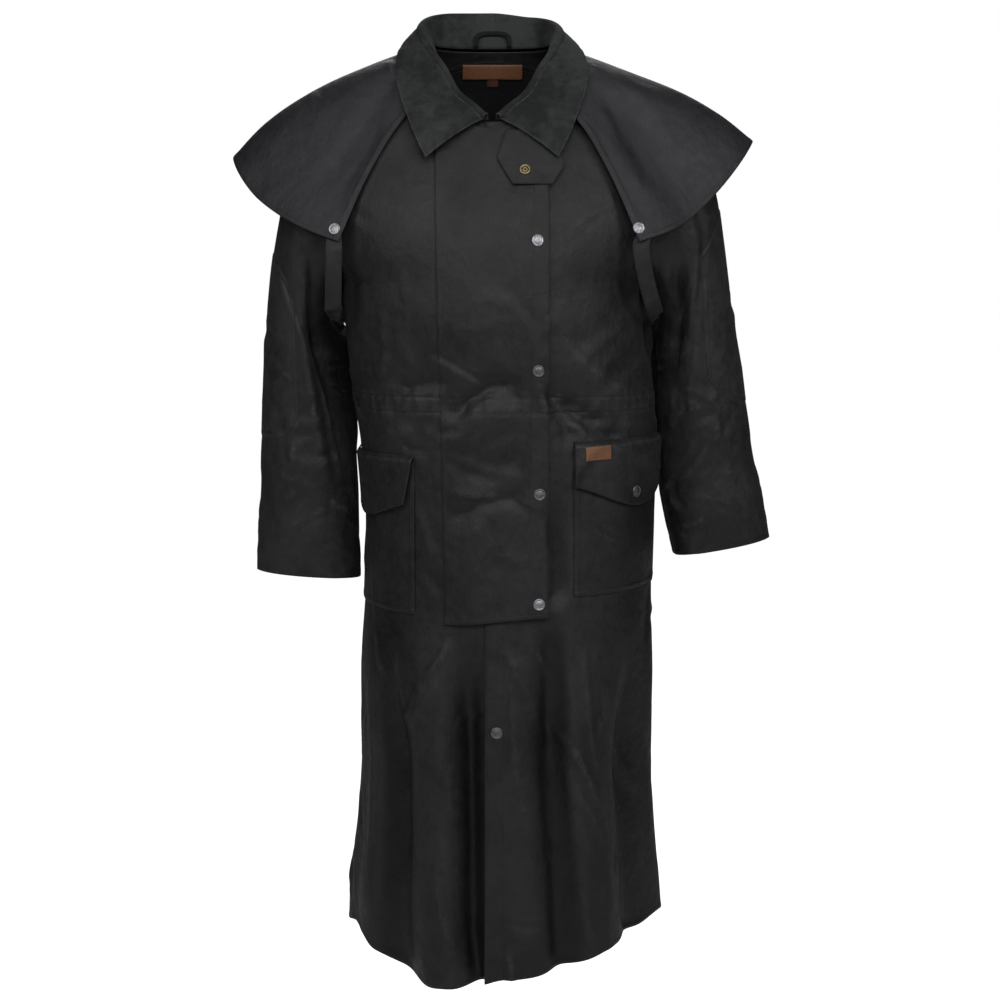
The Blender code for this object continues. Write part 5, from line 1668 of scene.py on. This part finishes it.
def make_sleeves():
    """Both sleeves with their elbow patches."""
    for name, side in SIDES:
        turns = np.arange(SLEEVE_COLUMNS) * 360 / SLEEVE_COLUMNS
        cuff = (CUFF_STITCH[side],)
        alongs = places(SLEEVE_LENGTH, CLOTH_PITCH, DOUBLE, cuff)
        grid = sleeve(side, turns[None, :] * -side, alongs[:, None])
        cloth("sleeve_" + name, grid, BODY_WALL, tube=True, rise=0.3,
              seams=dict(top=DOUBLE, bottom=cuff), finish=SLEEVE_CLOTH)
        rows = ELBOWS[side]
        first, last = rows["turn"][0], rows["turn"][-1]
        turns = (first + (last - first) * places(last - first, FINE_PITCH, DOUBLE, DOUBLE))[::-side]
        top = smooth(rows, "turn", "top", turns)
        bottom = smooth(rows, "turn", "bottom", turns)
        along = top + (bottom - top) * places(PATCH_LENGTH, FINE_PITCH, DOUBLE, DOUBLE)[:, None]
        grid = sleeve(side, np.broadcast_to(turns, along.shape), along, PATCH_LIFT)
        cloth("elbow_patch_" + name, grid, PATCH_WALL,
              dict(top=DOUBLE, bottom=DOUBLE, left=DOUBLE, right=DOUBLE), rise=0.1, finish=PATCH_CLOTH)


def resample(grid, parts):
    """A grid with rows at new places, on smooth curves through the old rows."""
    rows = np.arange(len(grid), dtype=float)
    at = np.asarray(parts) * (len(grid) - 1)
    i = np.clip(at.astype(int), 0, len(grid) - 2)
    t = (at - i)[:, None, None]
    padded = np.concatenate([2 * grid[:1] - grid[1:2], grid, 2 * grid[-1:] - grid[-2:-1]])
    a, b, c, d = (padded[i + k] for k in range(4))
    even = (2 * a - 5 * b + 4 * c - d) * t ** 2
    return 0.5 * (2 * b + (c - a) * t + even + (3 * b - a - 3 * c + d) * t ** 3)


def make_cape():
    """The cape and its two straps."""
    ways = places(CAPE_HALF_GIRTH, CLOTH_PITCH, CAPE_FRONT_LINES, ())
    outs = places(CAPE_LENGTH, CLOTH_PITCH, (), CAPE_HEM_LINES)
    shorter = 1 - TIP_ROUNDING * np.exp(-((ways - TIP_WAY) / TIP_SPREAD) ** 2)
    left = cape(1, ways[None, :], outs[:, None] * shorter)
    right = cape(-1, ways[None, ::-1], outs[:, None] * shorter[::-1])
    cloth("cape", np.concatenate([left, right[:, 1:]], axis=1), CAPE_WALL,
          seams=dict(left=CAPE_FRONT_LINES, right=CAPE_FRONT_LINES, bottom=CAPE_HEM_LINES), finish=CAPE_CLOTH)
    for name, side in SIDES:
        pair = resample(strap_pair(STRAPS[side], side), np.linspace(0, 1, STRAP_ROWS))
        parts = places(STRAP_WIDTH, STRAP_PITCH, SINGLE, SINGLE)[None, :, None]
        grid = pair[:, :1] * (1 - parts) + pair[:, 1:] * parts
        run = np.arange(len(grid))[:, None]
        drift = STRAP_DRIFT * np.sin(run / STRAP_DRIFT_RUN)
        wave = STRAP_WAVE * np.sin(run / STRAP_WAVE_RUN + drift + STRAP_SLANT * (parts[..., 0] - 0.5))
        grid = grid + grid_normals(grid, False) * (wave * np.sin(np.pi * run / run[-1]))[..., None]
        cloth("cape_strap_" + name, grid, TRIM_WALL,
              dict(left=SINGLE, right=SINGLE), rise=0.2)


def strap_pair(rows, side):
    """The two edges of a cape strap."""
    middle = np.stack([side * rows["x"], rows["y"], rows["z"]], axis=-1)
    wide = unit(np.stack([side * rows["wide_x"], rows["wide_y"], rows["wide_z"]], axis=-1))
    edges = [middle + wide * STRAP_WIDTH / 2 * way for way in (-1, 1)]
    inner = cape(side, STRAP_ENDS["inner_way"], STRAP_ENDS["inner_out"], -STRAP_TUCK)
    outer = cape(side, STRAP_ENDS["outer_way"], STRAP_ENDS["outer_out"], -STRAP_TUCK)
    ends = np.stack([inner, outer], axis=1)
    grid = np.concatenate([ends[:2], np.stack(edges, axis=1), ends[2:]])
    return grid if side > 0 else grid[:, ::-1]


def make_collar():
    ways = places(COLLAR_HALF_LENGTH, COLLAR_PITCH, DOUBLE, ())
    left = [collar_section(1, way) for way in ways]
    right = [collar_section(-1, way) for way in ways[::-1]]
    grid = np.stack(left + right[1:], axis=1)[::-1]
    cloth("collar", grid, COLLAR_WALL,
          dict(top=DOUBLE, left=DOUBLE, right=DOUBLE), finish=BRUSHED)


def make_tab():
    """The throat tab."""
    drops = np.linspace(TAB["drop"][0], TAB["drop"][-1], TAB_ROWS)
    left = np.interp(drops, TAB["drop"], TAB["left"])
    right = np.interp(drops, TAB["drop"], TAB["right"])
    drops = drops + TAB_SAG * ease(TAB["drop"][0], TAB["drop"][-1], drops)
    x = left[:, None] + (right - left)[:, None] * places(TAB_WIDTH, FINE_PITCH, SINGLE, SINGLE)
    drop = np.broadcast_to(drops[:, None], x.shape)
    grid = body(across_at(x, drop), drop, TAB_LIFT)
    cloth("throat_tab", grid, TRIM_WALL,
          dict(left=SINGLE, right=SINGLE, bottom=SINGLE))


def lining_top(line):
    """The drop of the lining's upper edge on a line."""
    across = line(np.float64(0))
    x = float(plain_body(across, np.float64(0))[0])
    return float(top_drop(across)) + LINING_TOP_INSET + LINING_SIDE_INSET * (x / LINING_HALF) ** 2


def loop_point(angle, inset):
    """A point of the hanger loop, against the collar's stand."""
    x = (LOOP_HALF - inset) * signed_power(math.cos(angle), LOOP_SQUARE)
    height = (LOOP_HEIGHT - inset) * signed_power(math.sin(angle), LOOP_SQUARE)
    section = collar_section(1 if x >= 0 else -1, 1 - LOOP_WAY_RATE * abs(x))
    rise = unit(section[STAND_TOP_POINT] - section[0])
    inward = unit(np.cross(rise, np.array([1.0, 0, 0])))
    base = section[0] + rise * (LOOP_FOOT + height)
    return np.array([x, base[1], base[2]]) + inward * (LOOP_LIFT - LOOP_WALL)


def make_inside():
    """The lining, labels and hanger loop inside the neck."""
    lines = [back_line(x) for x in np.linspace(-LINING_HALF, LINING_HALF, INSIDE_COLUMNS)]
    rows = even_rows(places(LINING_END, CLOTH_PITCH, FACING_LINES))
    grid = body_sheet(lines, rows, lining_top, level(LINING_END),
                      lambda across, drop: LINING_LIFT - LINING_WALL, 1)
    cloth("back_lining", grid, LINING_WALL, seams=dict(top=FACING_LINES),
          finish=LINING, thread=FACING_THREAD)
    label = inside_patch(NECK_LABEL_HALF, NECK_LABEL_TOP, NECK_LABEL_END, LABEL_LIFT - LEATHER_WALL)
    leather_label("neck_label", label)
    tag = inside_patch(TAG_HALF, NECK_LABEL_END - 1, NECK_LABEL_END + TAG_LENGTH, LABEL_LIFT + TAG_WALL / 2)
    cloth("size_tag", tag, TAG_WALL, finish=TAG,
          prefix="")
    loop = np.array([[loop_point(angle, inset) for inset in np.linspace(0, LOOP_WIDTH, LOOP_COLUMNS)]
                     for angle in np.radians(np.linspace(0, 180, INSIDE_COLUMNS))])
    cloth("hanger_loop", loop, LOOP_WALL,
          dict(left=LOOP_LINES, right=LOOP_LINES), rise=0.1, finish=LINING)


def leather_label(node, grid):
    """A leather label, stitched down all round."""
    cloth(node, grid, LEATHER_WALL,
          dict(top=LABEL_LINES, bottom=LABEL_LINES, left=LABEL_LINES, right=LABEL_LINES), rise=0.2,
          finish=LEATHER, thread=TAN_THREAD)


def inside_patch(half, top, bottom, lift):
    """Points of a small rectangle on the lining, its face towards the neck's opening."""
    x = np.linspace(-half, half, INSIDE_COLUMNS)[None, :]
    drop = (top + (bottom - top) * places(bottom - top, LABEL_PITCH))[:, None]
    x, drop = np.broadcast_arrays(x, drop)
    return body(2 - across_at(x, drop), drop, lift)


def turned(name, point, out, profile, finish):
    """A round fastener turned from a profile of radii and heights, standing on the cloth at a point."""
    spin = np.radians(np.arange(SNAP_STEPS) * 360 / SNAP_STEPS)
    side = unit(np.cross(out, np.array([0.0, 0.0, 1.0])))
    up = np.cross(side, out)
    vertices = [point + out * height + radius * (math.cos(a) * side + math.sin(a) * up)
                for radius, height in profile for a in spin]
    faces = []
    for ring in range(len(profile) - 1):
        for i in range(SNAP_STEPS):
            a = ring * SNAP_STEPS + i
            b = ring * SNAP_STEPS + (i + 1) % SNAP_STEPS
            faces.append((a, b, b + SNAP_STEPS, a + SNAP_STEPS))
    first = list(range(SNAP_STEPS))
    last = [(len(profile) - 1) * SNAP_STEPS + i for i in first]
    faces.append(first[::-1])
    faces.append(last)
    made = new_object("turned_" + name, vertices, faces, finish)
    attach(made, "root")
    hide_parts(name)


def make_snaps():
    for i, name in enumerate(FRONT_SNAP_NAMES):
        lift = overlap_lift if name == "snap_overlap" else flap_lift
        x, drop, sink = (FRONT_SNAPS[key][i] for key in FRONT_SNAPS)
        finish = OLD_NICKEL if name in DULL_SNAPS else NICKEL
        front_snap(name, x, drop, lift, sink, CAP_PROFILE, finish)
    front_snap("snap_throat", THROAT_SNAP_X, THROAT_SNAP_DROP + TAB_SAG / 2,
               lambda across, drop: TAB_LIFT, 0.0, RING_PROFILE, BRASS)
    front_snap("snap_pocket_left", LEFT_SNAP_X, LEFT_SNAP_DROP, pocket_flap_lift(1), 0.0, CAP_PROFILE,
               OLD_NICKEL)
    for name, side in SIDES:
        way, out = CAPE_SNAP[name]
        facing_way = normals(partial(cape_point, side), way, out, 0.01, 0.01, side)
        turned("snap_cape_" + name, cape(side, way, out), facing_way, CAP_PROFILE, NICKEL)


def front_snap(name, x, drop, lift, sink, profile, finish):
    across = across_at(x, drop)
    point = body(across, drop, lift(across, drop) - sink)
    out = normals(plain_body, across, np.float64(drop), 0.01, 2.0, 1)
    turned(name, point, out, profile, finish)


def make_label():
    """The leather label on the left pocket's flap."""
    across_part = places(LABEL_RIGHT - LABEL_LEFT, LABEL_PITCH)[None, :]
    down_part = places(LABEL_END - LABEL_TOP, LABEL_PITCH)[:, None]
    x = LABEL_LEFT + (LABEL_RIGHT - LABEL_LEFT) * across_part + 0 * down_part
    drop = LABEL_TOP + (LABEL_END - LABEL_TOP) * down_part - LABEL_TILT * (across_part - 0.5)
    across = across_at(x, drop)
    grid = body(across, drop, pocket_flap_lift(1)(across, drop) + LEATHER_LIFT + LABEL_CLEAR)
    leather_label("pocket_label", grid)


def make_stage():
    camera = bpy.data.objects.new("camera", bpy.data.cameras.new("camera"))
    camera.data.lens = CAMERA_LENS
    camera.data.sensor_width = CAMERA_SENSOR
    camera.location = CAMERA_PLACE
    camera.rotation_euler = (math.radians(90 - CAMERA_TILT), 0, 0)
    bpy.context.scene.collection.objects.link(camera)
    bpy.context.scene.camera = camera
    bpy.context.scene.view_settings.view_transform = "Standard"
    world = bpy.data.worlds.new("studio")
    world.use_nodes = True
    nodes, links = world.node_tree.nodes, world.node_tree.links
    back = nodes["Background"]
    back.inputs["Color"].default_value = (1, 1, 1, 1)
    seen = nodes.new("ShaderNodeLightPath")
    glow = levels(nodes, links, seen.outputs["Is Camera Ray"], 0, 1, WORLD_LIGHT, 1.0)
    links.new(glow, back.inputs["Strength"])
    bpy.context.scene.world = world
    bpy.ops.mesh.primitive_plane_add(size=FLOOR_SIZE, location=(0, 0, FLOOR_HEIGHT))
    floor = bpy.context.active_object
    floor.name = "floor"
    made, nodes, links, shader = principled("floor")
    shader.inputs["Base Color"].default_value = (0.9, 0.9, 0.9, 1)
    shader.inputs["Roughness"].default_value = 0.9
    shader.inputs["Emission Color"].default_value = (1, 1, 1, 1)
    seen = nodes.new("ShaderNodeLightPath")
    glow = levels(nodes, links, seen.outputs["Is Camera Ray"], 0, 1, 0.0, 1.0)
    links.new(glow, shader.inputs["Emission Strength"])
    floor.data.materials.append(made)
    for name, place, size, power, aim in LIGHTS:
        lamp = bpy.data.objects.new(name, bpy.data.lights.new(name, "AREA"))
        lamp.data.shape = "RECTANGLE"
        lamp.data.size, lamp.data.size_y = size
        lamp.data.energy = power
        lamp.location = place
        way = Vector(aim) - Vector(place)
        lamp.rotation_euler = way.to_track_quat("-Z", "Y").to_euler()
        lamp.visible_camera = False
        bpy.context.scene.collection.objects.link(lamp)


make_body()
make_storm_flap()
make_pockets()
make_sleeves()
make_cape()
make_collar()
make_tab()
make_inside()
make_label()
make_snaps()
make_stage()
